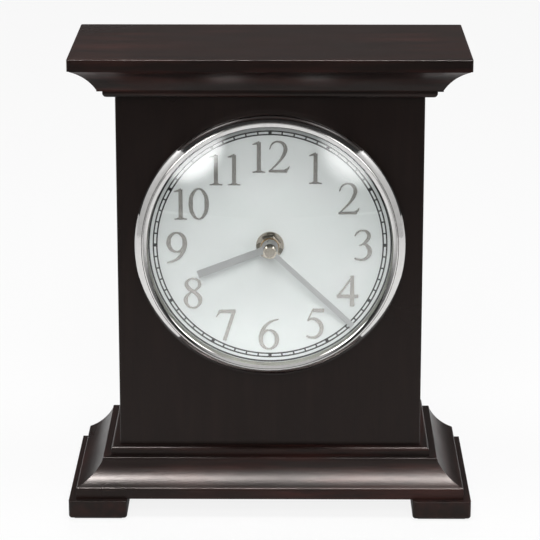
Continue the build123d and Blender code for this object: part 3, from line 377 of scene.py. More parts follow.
# %% Group: wood grain
STREAK_STRETCH, PORE_STRETCH, CLOUD_SCALE = (16, 150, 150), (70, 1400, 1400), 16
STREAK_RANGE, CLOUD_RANGE = (0.42, 0.68, 0, 1), (0.35, 0.65, 0.25, 1)
PORE_RANGE, GLOSS_RANGE = (0.56, 0.7, 0, 0.55), (0.3, 0.7)
PORE_BLACK = (0.003, 0.002, 0.002, 1)
grain_group, grain_in, grain_out = new_group(
    "wood_grain",
    {"Vector": "Vector", "Ground": "Color", "Streak": "Color", "Gloss": "Float", "Matt": "Float"},
)
grain_vector = grain_in.outputs["Vector"]
along = multiplied(grain_group, "VectorMath", grain_vector, STREAK_STRETCH)
fine = multiplied(grain_group, "VectorMath", grain_vector, PORE_STRETCH)
streaks = noise(grain_group, along, scale=1, detail=4)
pores = noise(grain_group, fine, scale=1, detail=2)
clouds = noise(grain_group, grain_vector, CLOUD_SCALE, detail=2)
streaked, clouded = ranged(grain_group, streaks, *STREAK_RANGE), ranged(grain_group, clouds, *CLOUD_RANGE)
streak_mask = multiplied(grain_group, "Math", streaked, clouded)
stain = blended(grain_group, streak_mask, grain_in.outputs["Ground"], grain_in.outputs["Streak"])
pore_mask = ranged(grain_group, pores, *PORE_RANGE)
pored = blended(grain_group, pore_mask, stain, PORE_BLACK)
lacquer = ranged(grain_group, clouds, *GLOSS_RANGE, grain_in.outputs["Gloss"], grain_in.outputs["Matt"])
give(grain_group, grain_out, pored, lacquer, pore_mask)

# %% [markdown]
# Cast, moulded and painted surfaces are never perfectly even: a fine grit breaks up the gloss. One group
# gives that grit at any size, as a mask between two tones, a roughness between two limits and a height for a
# bump.

# %% Group: fine grit
GRIT_RANGE = (0.35, 0.65, 0, 1)
grit_group, grit_in, grit_out = new_group(
    "fine_grit",
    {"Vector": "Vector", "Size": "Float", "Dark": "Color", "Light": "Color", "Gloss": "Float", "Matt": "Float"},
)
grit_grains = noise(grit_group, grit_in.outputs["Vector"], grit_in.outputs["Size"], detail=3)
grit_mask = ranged(grit_group, grit_grains, *GRIT_RANGE)
grit_tone = blended(grit_group, grit_mask, grit_in.outputs["Dark"], grit_in.outputs["Light"])
grit_gloss = ranged(grit_group, grit_mask, 0, 1, grit_in.outputs["Gloss"], grit_in.outputs["Matt"])
give(grit_group, grit_out, grit_tone, grit_gloss, grit_mask)

# %% [markdown]
# Every finish starts the same way: a Principled shader with its plain values set, a group fed with Object
# coordinates through a Mapping node that turns the pattern, and a weak bump from the group's height.

# %% Helper: a finish from a group
def grouped(tree, shader, group, group_values):
    """A group in a tree that leads a shader's colour and roughness."""
    pattern = add(tree, "Group")
    pattern.node_tree = group
    set_inputs(pattern, group_values)
    wire(tree, (pattern, "Color", shader, "Base Color"), (pattern, "Roughness", shader, "Roughness"))
    return pattern


def grouped_finish(name, group, turn, plain, group_values, bump):
    """A material whose colour, roughness and relief come from a group."""
    finish, tree, shader = new_finish(name)
    set_inputs(shader, plain)
    pattern = grouped(tree, shader, group, group_values)
    turned_place = add(tree, "Mapping", Rotation=turn)
    relief = add(tree, "Bump", Strength=bump[0], Distance=bump[1])
    wire(
        tree,
        (add(tree, "TexCoord"), "Object", turned_place, "Vector"),
        (turned_place, "Vector", pattern, "Vector"),
        (pattern, "Height", relief, "Height"),
        (relief, "Normal", shader, "Normal"),
    )
    return finish


# %% [markdown]
# The case is stained almost black, with a red warmth that shows where the light rakes the top and the
# mouldings. The grain follows each board: across the clock on the top and the front mouldings, up the panel
# and the sides, and from front to back on the side mouldings and the feet. So there are three turns of one
# finish, and each part takes the one that its board would have. The upright boards also take a darker,
# quieter streak, which is painted shade: the raking light falls on the top and the mouldings, not on them.

# %% Finish: dark wood
GRAIN_ACROSS = (0, 0, 0)
GRAIN_BACK = (0, 0, math.radians(90))
GRAIN_UP = (0, math.radians(90), 0)
WOOD_GROUND = (0.0060, 0.0030, 0.0025, 1)
WOOD_STREAK = (0.032, 0.0092, 0.0070, 1)
# the darker, quieter streak of the upright boards is painted shade
SHADED_STREAK = (0.0095, 0.0050, 0.0041, 1)
LACQUER_TINT = (1, 0.91, 0.87, 1)


def dark_wood(name, turn, streak):
    """The case's lacquered wood with its grain turned."""
    return grouped_finish(
        name,
        grain_group,
        turn,
        {"Specular IOR Level": 0.3, "IOR": 1.45, "Specular Tint": LACQUER_TINT},
        {"Ground": WOOD_GROUND, "Streak": streak, "Gloss": 0.27, "Matt": 0.36},
        (0.12, 0.0002),
    )


wood_across = dark_wood("black_wood_across", GRAIN_ACROSS, WOOD_STREAK)
wood_back = dark_wood("black_wood_back", GRAIN_BACK, WOOD_STREAK)
# painted shade: the upright boards take the darker streak
wood_up_shaded = dark_wood("black_wood_up", GRAIN_UP, SHADED_STREAK)
WOOD_OF = {
    "crown_front": wood_across,
    "crown_left": wood_back,
    "crown_right": wood_back,
    "front_panel": wood_up_shaded,
    "left_side": wood_up_shaded,
    "right_side": wood_up_shaded,
}
for node_name, wood in WOOD_OF.items():
    coat(nodes[node_name], wood)
print("wood on", len(WOOD_OF), "boards")

# %% [markdown]
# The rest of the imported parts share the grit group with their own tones. Metals have Metallic at 1 and a
# gloss that tells them apart: mirror-bright nickel, satin zinc, brushed hand metal. Plastics, rubber and
# paper are rougher and show a deeper grit.

# %% Finishes: metals, plastics and papers
GRIT_FINISHES = {
    "felt": ((0.01, 0.011, 0.01), (0.03, 0.032, 0.03), 0.95, 1.0, 0, 2500, (0.9, 0.0004)),
    "satin_ring": ((0.37, 0.365, 0.325), (0.42, 0.415, 0.365), 0.3, 0.36, 1, 1500, (0.05, 0.0001)),
    "silver_dial": ((0.745, 0.785, 0.775), (0.765, 0.80, 0.79), 0.42, 0.5, 0, 3500, (0.04, 0.0001)),
    "backing_board": ((0.12, 0.075, 0.045), (0.2, 0.13, 0.08), 0.75, 0.9, 0, 1800, (0.4, 0.0003)),
    "zinc_steel": ((0.54, 0.54, 0.54), (0.60, 0.60, 0.59), 0.27, 0.36, 1, 700, (0.02, 0.0001)),
    "hand_metal": ((0.49, 0.50, 0.50), (0.52, 0.53, 0.53), 0.38, 0.44, 1, 2500, (0.03, 0.0001)),
    "numeral_metal": ((0.55, 0.535, 0.505), (0.57, 0.555, 0.525), 0.2, 0.23, 1, 1200, (0.01, 0.0001)),
    "warm_nickel": ((0.60, 0.55, 0.47), (0.66, 0.61, 0.53), 0.05, 0.1, 1, 900, (0.02, 0.0001)),
    "bright_brass": ((0.66, 0.44, 0.2), (0.74, 0.51, 0.25), 0.16, 0.26, 1, 1100, (0.05, 0.0001)),
    "hinge_brass": ((0.62, 0.44, 0.19), (0.67, 0.48, 0.215), 0.25, 0.31, 1, 2200, (0.02, 0.0001)),
    "black_plastic": ((0.012, 0.012, 0.013), (0.02, 0.02, 0.021), 0.42, 0.55, 0, 2600, (0.3, 0.0002)),
    "gear_plastic": ((0.72, 0.71, 0.66), (0.78, 0.77, 0.73), 0.35, 0.45, 0, 1600, (0.08, 0.0001)),
    "bridge_plastic": ((0.025, 0.027, 0.03), (0.04, 0.042, 0.046), 0.4, 0.5, 0, 2200, (0.2, 0.0002)),
    "coil_wire": ((0.5, 0.2, 0.08), (0.62, 0.27, 0.11), 0.25, 0.4, 1, 2600, (0.3, 0.0002)),
    "board_laminate": ((0.012, 0.075, 0.03), (0.02, 0.1, 0.045), 0.3, 0.42, 0, 900, (0.1, 0.0001)),
    "cell_sleeve": ((0.015, 0.015, 0.017), (0.024, 0.024, 0.026), 0.22, 0.32, 0, 700, (0.05, 0.0001)),
    "speaker_steel": ((0.42, 0.42, 0.42), (0.52, 0.52, 0.52), 0.3, 0.45, 1, 1000, (0.1, 0.0001)),
    "ferrite": ((0.04, 0.04, 0.043), (0.07, 0.07, 0.075), 0.5, 0.65, 0, 1800, (0.4, 0.0002)),
    "cone_paper": ((0.03, 0.03, 0.03), (0.055, 0.054, 0.052), 0.8, 0.95, 0, 1500, (0.5, 0.0003)),
    "black_rubber": ((0.012, 0.012, 0.012), (0.022, 0.022, 0.022), 0.7, 0.85, 0, 1400, (0.2, 0.0002)),
    "catch_plastic": ((0.16, 0.09, 0.05), (0.2, 0.12, 0.07), 0.4, 0.52, 0, 1500, (0.15, 0.0002)),
    "polished_steel": ((0.73, 0.72, 0.71), (0.77, 0.76, 0.75), 0.05, 0.09, 1, 500, (0.02, 0.0001)),
}
finishes = {}
for finish_name, (dark, light, gloss, matt, metal, size, bump) in GRIT_FINISHES.items():
    finishes[finish_name] = grouped_finish(
        finish_name,
        grit_group,
        GRAIN_ACROSS,
        {"Metallic": metal},
        {"Dark": (*dark, 1), "Light": (*light, 1), "Gloss": gloss, "Matt": matt, "Size": size},
        bump,
    )
finishes["stained_board"] = grouped_finish(
    "stained_board",
    grain_group,
    GRAIN_UP,
    {"Specular IOR Level": 0.4},
    {"Ground": (0.02, 0.012, 0.009, 1), "Streak": (0.045, 0.024, 0.017, 1), "Gloss": 0.5, "Matt": 0.62},
    (0.25, 0.0002),
)
for part in frame["record"]["subparts"]:
    slot_name = part["material_slot"]
    if slot_name in finishes:
        coat(nodes[part["node"]], finishes[slot_name])
print("finishes made:", len(finishes) + 3)

# %% [markdown]
# The battery is a steel can in a printed wrapper: black below, a copper band above, bare steel at both ends.
# The zones follow the height, so a ramp with hard steps turns the height into a colour, and a second ramp
# tells which zones are metal. The grit group mottles it all a little.

# %% Finish: the battery's wrapper
BARE_STEEL, BLACK_PRINT, COPPER_PRINT = (0.6, 0.6, 0.6, 1), (0.02, 0.02, 0.022, 1), (0.62, 0.30, 0.14, 1)
METAL, PAINT = (1, 1, 1, 1), (0, 0, 0, 1)
CELL_ZONES = (
    (0.0, BARE_STEEL, METAL),
    (0.014, BLACK_PRINT, PAINT),
    (0.66, COPPER_PRINT, METAL),
    (0.955, BARE_STEEL, METAL),
)
cell_low, cell_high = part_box("battery")
cell_tree = finishes["cell_sleeve"].node_tree
cell_axes = add(cell_tree, "SeparateXYZ")
wire(cell_tree, (add(cell_tree, "TexCoord"), "Object", cell_axes, "Vector"))
cell_rise = ranged(cell_tree, cell_axes.outputs["Z"], cell_low.z, cell_high.z, 0, 1)
cell_colours, cell_metal = add(cell_tree, "ValToRGB"), add(cell_tree, "ValToRGB")
for ramp, shade in ((cell_colours, 1), (cell_metal, 2)):
    ramp.color_ramp.interpolation = "CONSTANT"
    cell_tree.links.new(cell_rise, ramp.inputs["Fac"])
    while len(ramp.color_ramp.elements) < len(CELL_ZONES):
        ramp.color_ramp.elements.new(1)
    for stop, zone in zip(ramp.color_ramp.elements, CELL_ZONES):
        stop.position, stop.color = zone[0], zone[shade]
cell_grit = next(node for node in cell_tree.nodes if node.type == "GROUP")
set_inputs(cell_grit, {"Dark": (0.88, 0.88, 0.88, 1), "Light": (1, 1, 1, 1)})
cell_tone = blended(cell_tree, 1, cell_colours.outputs["Color"], cell_grit.outputs["Color"], "MULTIPLY")
cell_shader = cell_tree.nodes["Principled BSDF"]
set_inputs(cell_shader, {"Base Color": cell_tone, "Metallic": cell_metal.outputs["Color"]})
print("battery wrapped in", len(CELL_ZONES), "zones")

# %% [markdown]
# The bezel, the glass and the printed rings are all round, so they are turned: one vertex is pulled along the
# outline, point by point, and the outline is spun round the dial's axis. This is a lathe in edit mode, and
# the number of steps sets how smooth the piece looks from close by.

# %% Helpers: turn a piece on the dial's axis
WELD = 1e-6
SMOOTH_ANGLE = math.radians(32)


def select_mesh():
    """Select all of the piece in edit mode."""
    bpy.ops.mesh.select_all(action="SELECT")


def edit():
    """Enter edit mode with all of the piece selected."""
    bpy.ops.object.mode_set(mode="EDIT")
    select_mesh()


def weld():
    """Merge doubles all over the piece in edit mode, and leave all of it selected."""
    select_mesh()
    bpy.ops.mesh.remove_doubles(threshold=WELD)
    select_mesh()


def pulled(name, places):
    """An outline in edit mode: one vertex pulled from place to place."""
    piece = fresh(name, bpy.ops.mesh.primitive_plane_add, size=MM, location=places[0])
    bpy.ops.object.transform_apply()
    edit()
    bpy.ops.mesh.merge(type="CENTER")
    for here, there in zip(places, places[1:]):
        bpy.ops.mesh.extrude_vertices_move(TRANSFORM_OT_translate={"value": tuple(there - here)})
    weld()
    return piece


def smooth():
    """Turn the selected faces outwards, leave edit mode and smooth the soft edges."""
    bpy.ops.mesh.normals_make_consistent(inside=False)
    bpy.ops.object.mode_set(mode="OBJECT")
    bpy.ops.object.shade_smooth_by_angle(angle=SMOOTH_ANGLE)


def turned(name, outline, steps, closed, base=0):
    """A piece spun from (radius, height above a base) points in millimetres."""
    places = [on_dial(0, radius, base + height) for radius, height in outline]
    piece = pulled(name, places + places[:1] if closed else places)
    bpy.ops.mesh.spin(steps=steps, angle=math.tau, center=on_dial(0, 0, 0), axis=(0, 1, 0))
    weld()
    smooth()
    return piece


def fit(piece, body, slot_name, *replaced, finish=None):
    """The piece rides a body, takes its slot's finish or another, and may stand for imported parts."""
    coat(piece, finish or finishes[slot_name])
    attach(piece, body)
    if replaced:
        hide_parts(*replaced)
    print(piece.name, len(piece.data.polygons), "faces on", body)


def arc(centre, radius, start, end, count):
    """Points on an arc in an outline, with angles in degrees."""
    steps = [math.radians(start + (end - start) * k / count) for k in range(count + 1)]
    return [(centre[0] + radius * math.cos(a), centre[1] + radius * math.sin(a)) for a in steps]


def roll(start, end, radius, count):
    """Points on the arc of a radius that bulges outwards from one outline point to the next."""
    start, end = Vector(start), Vector(end)
    middle = (start + end) / 2
    half = (end - start) / 2
    side = Vector((-half.y, half.x)).normalized()
    centre = middle + side * math.sqrt(radius ** 2 - half.length ** 2)
    first = math.degrees(math.atan2(start.y - centre.y, start.x - centre.x))
    last = math.degrees(math.atan2(end.y - centre.y, end.x - centre.x))
    return arc(centre, radius, first, last, count)


# %% [markdown]
# The bezel is a polished ring in two slopes: a tall outer wall with a steep shoulder, a fine crease, and an
# inner lip that leans in to the glass. Both slopes are slightly crowned, as a spun ring is. Bright metal
# shows every flat on a curve, so the crowns get many points and the ring many steps.

# %% Turn the bezel
BEZEL_STEPS, ROLL_POINTS = 256, 10
TUBE_OUTER, TUBE_INNER, TUBE_BACK = 70.2, 68.4, -9
WALL_RADIUS, WALL_TOP, SHOULDER_TOP, SHOULDER_CROWN = 73.1, 6.8, (69.5, 10.5), 13.0
CREASE, CREST_START, CREST, CREST_CROWN = (69.35, 10.05), (69.2, 10.5), (68.6, 10.91), 0.7
LIP_END, LIP_CROWN, LIP_UNDER, SEAT_HEIGHT = (66.6, 10.3), 7.0, (66.6, 10.2), 9.44
bezel_outline = [(TUBE_OUTER, TUBE_BACK), (TUBE_OUTER, 0), (WALL_RADIUS, 0)]
bezel_outline += roll((WALL_RADIUS, WALL_TOP), SHOULDER_TOP, SHOULDER_CROWN, ROLL_POINTS)
bezel_outline += [CREASE]
bezel_outline += roll(CREST_START, CREST, CREST_CROWN, ROLL_POINTS)
bezel_outline += roll(CREST, LIP_END, LIP_CROWN, ROLL_POINTS)[1:]
bezel_outline += [LIP_UNDER, (TUBE_INNER, SEAT_HEIGHT), (TUBE_INNER, TUBE_BACK)]
bezel = turned("bezel_ring", bezel_outline, BEZEL_STEPS, closed=True)
fit(bezel, "case", "polished_steel", "bezel")

# %% [markdown]
# The glass is a shallow dome ground from thick sheet, so its two faces are parts of spheres about one centre.
# Light goes through it both ways. A shadow through clear glass is nearly empty, and a mix with a transparent
# shader for shadow rays lets the lamps reach the dial without long noisy paths.

# %% Turn the glass
GLASS_STEPS, GLASS_RINGS, GLASS_IOR = 192, 40, 1.48
GLASS_TINT, GLASS_CLEAR = (0.985, 0.995, 0.99, 1), (1, 1, 1, 1)
GLASS_GRIT = {"Size": 60, "Dark": GLASS_TINT, "Light": GLASS_CLEAR, "Gloss": 0.0, "Matt": 0.03}
GLASS_CENTRE = (0, -147.58)
GLASS_INNER, GLASS_OUTER = 169.18, 171.18
GLASS_RIM_RADIUS, GLASS_RIM_HEIGHT = 68.3, 7.2
inner_rim = math.degrees(math.asin((GLASS_RIM_HEIGHT - GLASS_CENTRE[1]) / GLASS_INNER))
outer_rim = math.degrees(math.acos(GLASS_RIM_RADIUS / GLASS_OUTER))
glass_outline = arc(GLASS_CENTRE, GLASS_INNER, 90, inner_rim, GLASS_RINGS)
glass_outline += [(GLASS_RIM_RADIUS, GLASS_RIM_HEIGHT)]
glass_outline += arc(GLASS_CENTRE, GLASS_OUTER, outer_rim, 90, GLASS_RINGS)
glass = turned("dome_glass", glass_outline, GLASS_STEPS, closed=False)

clear_glass, glass_tree, glass_shader = new_finish("dial_glass")
set_inputs(glass_shader, {"Transmission Weight": 1.0, "IOR": GLASS_IOR})
glass_pattern = grouped(glass_tree, glass_shader, grit_group, GLASS_GRIT)
glass_mix = add(glass_tree, "MixShader")
wire(
    glass_tree,
    (add(glass_tree, "TexCoord"), "Object", glass_pattern, "Vector"),
    (add(glass_tree, "LightPath"), "Is Shadow Ray", glass_mix, "Fac"),
    (glass_shader, "BSDF", glass_mix, 1),
    (add(glass_tree, "BsdfTransparent"), "BSDF", glass_mix, 2),
    (glass_mix, "Shader", glass_tree.nodes["Material Output"], "Surface"),
)
fit(glass, "case", "dial_glass", "lens", finish=clear_glass)

# %% [markdown]
# Between the hex nut and the hour hand a narrow ring of bare brass catches the light. It is turned like the
# others, with its front edges broken so that they show as two thin lines.

# %% Turn the brass ring on the nut
RING_STEPS = 64
RING_BORE, RING_TOP = 4.1, (4.95, 0.9, 0.2)


def stepped(bore, *steps):
    """An outline from a bore outwards over flat steps, each an edge, a rise and a broken corner."""
    outline, inner = [(bore, 0)], bore
    for edge, rise, broken in steps:
        outline += [(inner, rise), (edge - broken, rise), (edge, rise - broken)]
        inner = edge
    return outline + [(inner, 0)]


nut_front = (panel_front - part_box("dial_nut")[0].y) / MM
ring_outline = stepped(RING_BORE, RING_TOP)
lock_ring = turned("brass_ring", ring_outline, RING_STEPS, closed=True, base=nut_front)
fit(lock_ring, "case", "bright_brass")

# %% [markdown]
# The hands are held by small turned pieces: a stepped collet on the hour hand, and a cap nut in front of the
# minute hand. The cap's chamfer is wide and flat, so it mirrors the soft boxes as two white glints with a
# dark arc between them. Each piece rides the hand that it is fixed to.

# %% Turn the collet and the cap nut
COLLET_BORE, COLLET_TOP, COLLET_LEDGE = 2.8, (3.75, 0.9, 0.15), (4.55, 0.4, 0.15)
hour_front = (panel_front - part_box("hour_hand")[0].y) / MM
collet_outline = stepped(COLLET_BORE, COLLET_TOP, COLLET_LEDGE)
collet = turned("hour_collet", collet_outline, RING_STEPS, closed=True, base=hour_front)
fit(collet, "hour_hand", "zinc_steel")

CAP_EDGE, CAP_FACE, CAP_CHAMFER = 3.65, 2.85, 0.53
CAP_BORE, CAP_BORE_DEPTH = 1.25, 2.6
cap_low, cap_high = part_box("hand_nut")
cap_base, cap_rise = (panel_front - cap_high.y) / MM, (cap_high.y - cap_low.y) / MM
cap_outline = [
    (0, cap_rise),
    (CAP_FACE, cap_rise),
    (CAP_EDGE, cap_rise - CAP_CHAMFER),
    (CAP_EDGE, 0),
    (CAP_BORE, 0),
    (CAP_BORE, CAP_BORE_DEPTH),
    (0, CAP_BORE_DEPTH),
]
cap = turned("hand_nut_cap", cap_outline, RING_STEPS, closed=False, base=cap_base)
fit(cap, "minute_hand", "warm_nickel", "hand_nut")

# %% [markdown]
# The minute track is printed in black: two thin circles joined by sixty short bars, with a heavier bar at
# each five minutes. A third black circle near the dial's edge is painted shadow, for the dark gap under the
# reflector ring. Printing is a skin of ink, so the circles are turned from a thin box-shaped outline.

# %% Print the minute track
INK_RISE, TRACK_STEPS = 0.04, 240
INK_DARK, INK_LIGHT = (0.004, 0.004, 0.004, 1), (0.01, 0.01, 0.01, 1)
TRACK_INNER, TRACK_OUTER, TRACK_LINE = 61.0, 62.9, 0.78
# the third circle is painted shadow: black ink where the gap under the reflector ring falls dark
GAP_SHADOW_RADIUS, GAP_SHADOW_WIDTH = 65.3, 0.9
ink = grouped_finish(
    "printed_ink",
    grit_group,
    GRAIN_ACROSS,
    {},
    {"Dark": INK_DARK, "Light": INK_LIGHT, "Gloss": 0.4, "Matt": 0.5, "Size": 3000},
    (0.05, 0.0001),
)
RINGS = {
    "track_inner_ring": (TRACK_INNER, TRACK_LINE),
    "track_outer_ring": (TRACK_OUTER, TRACK_LINE),
    # painted shadow: a black ring where the gap under the reflector ring falls dark
    "painted_gap_shadow_ring": (GAP_SHADOW_RADIUS, GAP_SHADOW_WIDTH),
}
for ring_name, (radius, line_width) in RINGS.items():
    low, high = radius - line_width / 2, radius + line_width / 2
    outline = [(low, 0), (low, INK_RISE), (high, INK_RISE), (high, 0)]
    ring = turned(ring_name, outline, TRACK_STEPS, closed=True, base=dial_height)
    fit(ring, "case", "silver_dial", finish=ink)

# %% [markdown]
# The bars are one small block at twelve o'clock that spin repeats round the dial, sixty times for the minutes
# and twelve times for the heavier ones.

# %% Print the bars
BARS = {"minute_bars": (0.8, 60), "five_minute_bars": (1.8, 12)}


def block(name, place, size):
    """A plain block of a size, about a place."""
    piece = fresh(name, bpy.ops.mesh.primitive_cube_add, size=1, location=place)
    piece.scale = size
    bpy.ops.object.transform_apply()
    return piece


for bars_name, (width, count) in BARS.items():
    bars = block(
        bars_name,
        on_dial(0, (TRACK_INNER + TRACK_OUTER) / 2, dial_height + INK_RISE / 4),
        (width * MM, INK_RISE * MM / 2, (TRACK_OUTER - TRACK_INNER) * MM),
    )
    edit()
    bpy.ops.mesh.spin(steps=count, dupli=True, angle=math.tau, center=on_dial(0, 0, 0), axis=(0, 1, 0))
    weld()
    bpy.ops.object.mode_set(mode="OBJECT")
    fit(bars, "case", "silver_dial", finish=ink)

# %% [markdown]
# The numerals are cut from thin bright sheet and stand a little proud of the dial. A serif figure is a pen's
# path whose width swells and thins, so each stroke is a list of points with a width at every point, in units
# of the figure's height. A round figure is an oval that closes on itself.

# %% Draw the figures' strokes
OVAL_POINTS, SWELL = 8, 1.3


def oval(across, up, half_width, half_height, thick, thin):
    """Points of a closed stroke that is thick at its sides and thin at its top and bottom."""
    points = []
    for k in range(OVAL_POINTS):
        turn = k * math.tau / OVAL_POINTS
        width = thin + (thick - thin) * abs(math.cos(turn)) ** SWELL
        points.append((across + half_width * math.cos(turn), up + half_height * math.sin(turn), width))
    return points


SIX_TAIL = [
    (0.30, 0.982, 0.035), (0.13, 0.935, 0.06), (-0.05, 0.83, 0.09),
    (-0.18, 0.65, 0.125), (-0.245, 0.44, 0.15), (-0.25, 0.325, 0.15),
]
SIX_LOOP = oval(0, 0.325, 0.25, 0.302, 0.15, 0.045)
STROKES = {
    "0": [("ring", oval(0, 0.5, 0.245, 0.48, 0.145, 0.04))],
    "1": [
        ("straight", [(0, 0, 0.128), (0, 0.955, 0.128)]),
        ("smooth", [(-0.2, 0.887, 0.02), (-0.1, 0.915, 0.06), (0.02, 0.94, 0.12)]),
        ("smooth", [(-0.197, 0.014, 0.028), (-0.1, 0.025, 0.045), (0, 0.05, 0.1),
                    (0.1, 0.025, 0.045), (0.197, 0.014, 0.028)]),
    ],
    "2": [
        ("smooth", [(-0.275, 0.735, 0.035), (-0.18, 0.92, 0.05), (0, 0.975, 0.055), (0.155, 0.9, 0.1),
                    (0.215, 0.745, 0.131), (0.167, 0.568, 0.115), (0.048, 0.383, 0.075),
                    (-0.143, 0.173, 0.05), (-0.285, 0.035, 0.045)]),
        ("straight", [(-0.3, 0.045, 0.07), (0.27, 0.05, 0.1)]),
        ("smooth", [(0.2, 0.055, 0.1), (0.29, 0.125, 0.06), (0.34, 0.21, 0.022)]),
    ],
    "3": [
        ("smooth", [(-0.263, 0.8, 0.035), (-0.17, 0.925, 0.048), (0, 0.976, 0.05), (0.143, 0.9, 0.1),
                    (0.174, 0.785, 0.125), (0.095, 0.637, 0.1), (-0.036, 0.53, 0.05), (-0.13, 0.494, 0.03)]),
        ("smooth", [(-0.06, 0.525, 0.03), (0.04, 0.54, 0.06), (0.155, 0.444, 0.125), (0.203, 0.296, 0.15),
                    (0.131, 0.123, 0.11), (-0.036, 0.04, 0.07), (-0.179, 0.055, 0.06),
                    (-0.265, 0.085, 0.06)]),
    ],
    "4": [
        ("straight", [(0.146, 0, 0.143), (0.146, 0.985, 0.115)]),
        ("straight", [(0.165, 0.965, 0.065), (-0.31, 0.3, 0.065)]),
        ("straight", [(-0.335, 0.32, 0.11), (0.335, 0.32, 0.11)]),
    ],
    "5": [
        ("straight", [(-0.075, 0.93, 0.115), (0.285, 0.93, 0.115)]),
        ("straight", [(-0.07, 0.95, 0.05), (-0.225, 0.6, 0.05)]),
        ("smooth", [(-0.235, 0.6, 0.05), (-0.1, 0.655, 0.075), (0.08, 0.6, 0.12), (0.2, 0.42, 0.145),
                    (0.19, 0.25, 0.135), (0.08, 0.09, 0.1), (-0.09, 0.045, 0.07), (-0.2, 0.065, 0.07),
                    (-0.265, 0.105, 0.06)]),
    ],
    "6": [("ring", SIX_LOOP), ("smooth", SIX_TAIL)],
    "7": [
        ("straight", [(-0.2, 0.943, 0.115), (0.3, 0.943, 0.115)]),
        ("straight", [(-0.185, 0.96, 0.08), (-0.3, 0.76, 0.03)]),
        ("straight", [(0.25, 0.94, 0.115), (-0.05, 0, 0.12)]),
    ],
    "8": [
        ("smooth", [(0.07, 0.965, 0.04), (-0.05, 0.972, 0.04), (-0.2, 0.81, 0.125), (-0.12, 0.65, 0.13),
                    (0.1, 0.49, 0.125), (0.225, 0.3, 0.145), (0.13, 0.075, 0.07), (-0.02, 0.022, 0.04)]),
        ("smooth", [(-0.02, 0.976, 0.035), (0.14, 0.93, 0.07), (0.21, 0.79, 0.115), (0.11, 0.63, 0.07),
                    (-0.1, 0.51, 0.06), (-0.225, 0.29, 0.14), (-0.13, 0.075, 0.07), (0.02, 0.022, 0.04)]),
    ],
    "9": [
        ("ring", [(-across, 1 - up, width) for across, up, width in SIX_LOOP]),
        ("smooth", [(-across, 1 - up, width) for across, up, width in SIX_TAIL]),
    ],
}
print("figures drawn:", " ".join(STROKES))

# %% [markdown]
# A stroke becomes a curve with a radius at every point. Its bevel makes it a round tube, and the tube is
# converted to a mesh. Straight strokes have vector handles, and the others flow through their points.

# %% Make one stroke
FIGURE_HEIGHT = 17.4
STROKE_SIDES, STROKE_STEPS = 3, 7


def stroke(kind, points, centre):
    """A round closed tube along a pen path, as a mesh."""
    path = fresh("pen_stroke", bpy.ops.curve.primitive_bezier_curve_add).data
    path.dimensions = "3D"
    path.resolution_u = STROKE_STEPS
    path.bevel_depth = FIGURE_HEIGHT * MM / 2
    path.bevel_resolution = STROKE_SIDES
    path.use_fill_caps = True
    line = path.splines[0]
    line.bezier_points.add(len(points) - len(line.bezier_points))
    line.use_cyclic_u = kind == "ring"
    for knot, (across, up, width) in zip(line.bezier_points, points):
        knot.co = centre + Vector((across, 0, up - 0.5)) * FIGURE_HEIGHT * MM
        knot.radius = width
        knot.handle_left_type = knot.handle_right_type = "VECTOR" if kind == "straight" else "AUTO"
    bpy.ops.object.convert(target="MESH")
    edit()
    weld()
    bpy.ops.mesh.normals_make_consistent(inside=False)
    bpy.ops.object.mode_set(mode="OBJECT")
    return bpy.context.object


# %% [markdown]
# A numeral is its strokes joined one after another by a Boolean. The joined tubes are then drawn out in
# depth, so that even a hairline is deep enough to slice, and cut twice with bisect: at the dial's face and at
# the numeral's top. This leaves a flat-topped figure with crisp upright walls.

# %% Build and slice the numerals
NUMERAL_RISE = 0.45
NUMERAL_DRAW = 5
HOUR_PLACES = {
    1: (24.3, 42.8), 2: (42.0, 25.9), 3: (50.2, 0.0), 4: (41.9, -25.4),
    5: (24.4, -44.0), 6: (-0.6, -50.0), 7: (-23.9, -44.9), 8: (-41.7, -27.0),
    9: (-50.3, -1.5), 10: (-42.0, 22.9), 11: (-24.1, 41.9), 12: (0.5, 48.9),
}
TWO_FIGURE_STEP = {"10": (-0.345, 0.215), "11": (-0.28, 0.28), "12": (-0.37, 0.23)}


def slice_off(height, keep_front):
    """Cuts all that is selected at a height before the panel, and closes the cut."""
    select_mesh()
    bpy.ops.mesh.bisect(
        plane_co=on_dial(0, 0, height),
        plane_no=(0, 1, 0),
        use_fill=True,
        clear_outer=keep_front,
        clear_inner=not keep_front,
    )


def alone(piece):
    """Select one piece and nothing else."""
    bpy.ops.object.select_all(action="DESELECT")
    bpy.context.view_layer.objects.active = piece
    piece.select_set(True)


def combine(piece, other, operation):
    """Join another piece to this one, or cut it away, and drop the other."""
    step = piece.modifiers.new("step", "BOOLEAN")
    step.operation, step.object = operation, other
    alone(piece)
    bpy.ops.object.modifier_apply(modifier="step")
    bpy.data.objects.remove(other)


def numeral(text, across, up):
    """A flat raised numeral about a place on the dial."""
    parts = []
    for figure, step in zip(text, TWO_FIGURE_STEP.get(text, (0,))):
        centre = on_dial(across + step * FIGURE_HEIGHT, up, dial_height)
        parts += [stroke(kind, points, centre) for kind, points in STROKES[figure]]
    whole = parts[0]
    for part in parts[1:]:
        combine(whole, part, "UNION")
    whole.name = "numeral_" + text
    alone(whole)
    bpy.ops.object.transform_apply()
    edit()
    bpy.ops.transform.resize(value=(1, NUMERAL_DRAW, 1), center_override=on_dial(0, 0, dial_height))
    slice_off(dial_height, keep_front=True)
    slice_off(dial_height + NUMERAL_RISE, keep_front=False)
    bpy.ops.object.mode_set(mode="OBJECT")
    bpy.ops.object.shade_smooth_by_angle(angle=SMOOTH_ANGLE)
    return whole


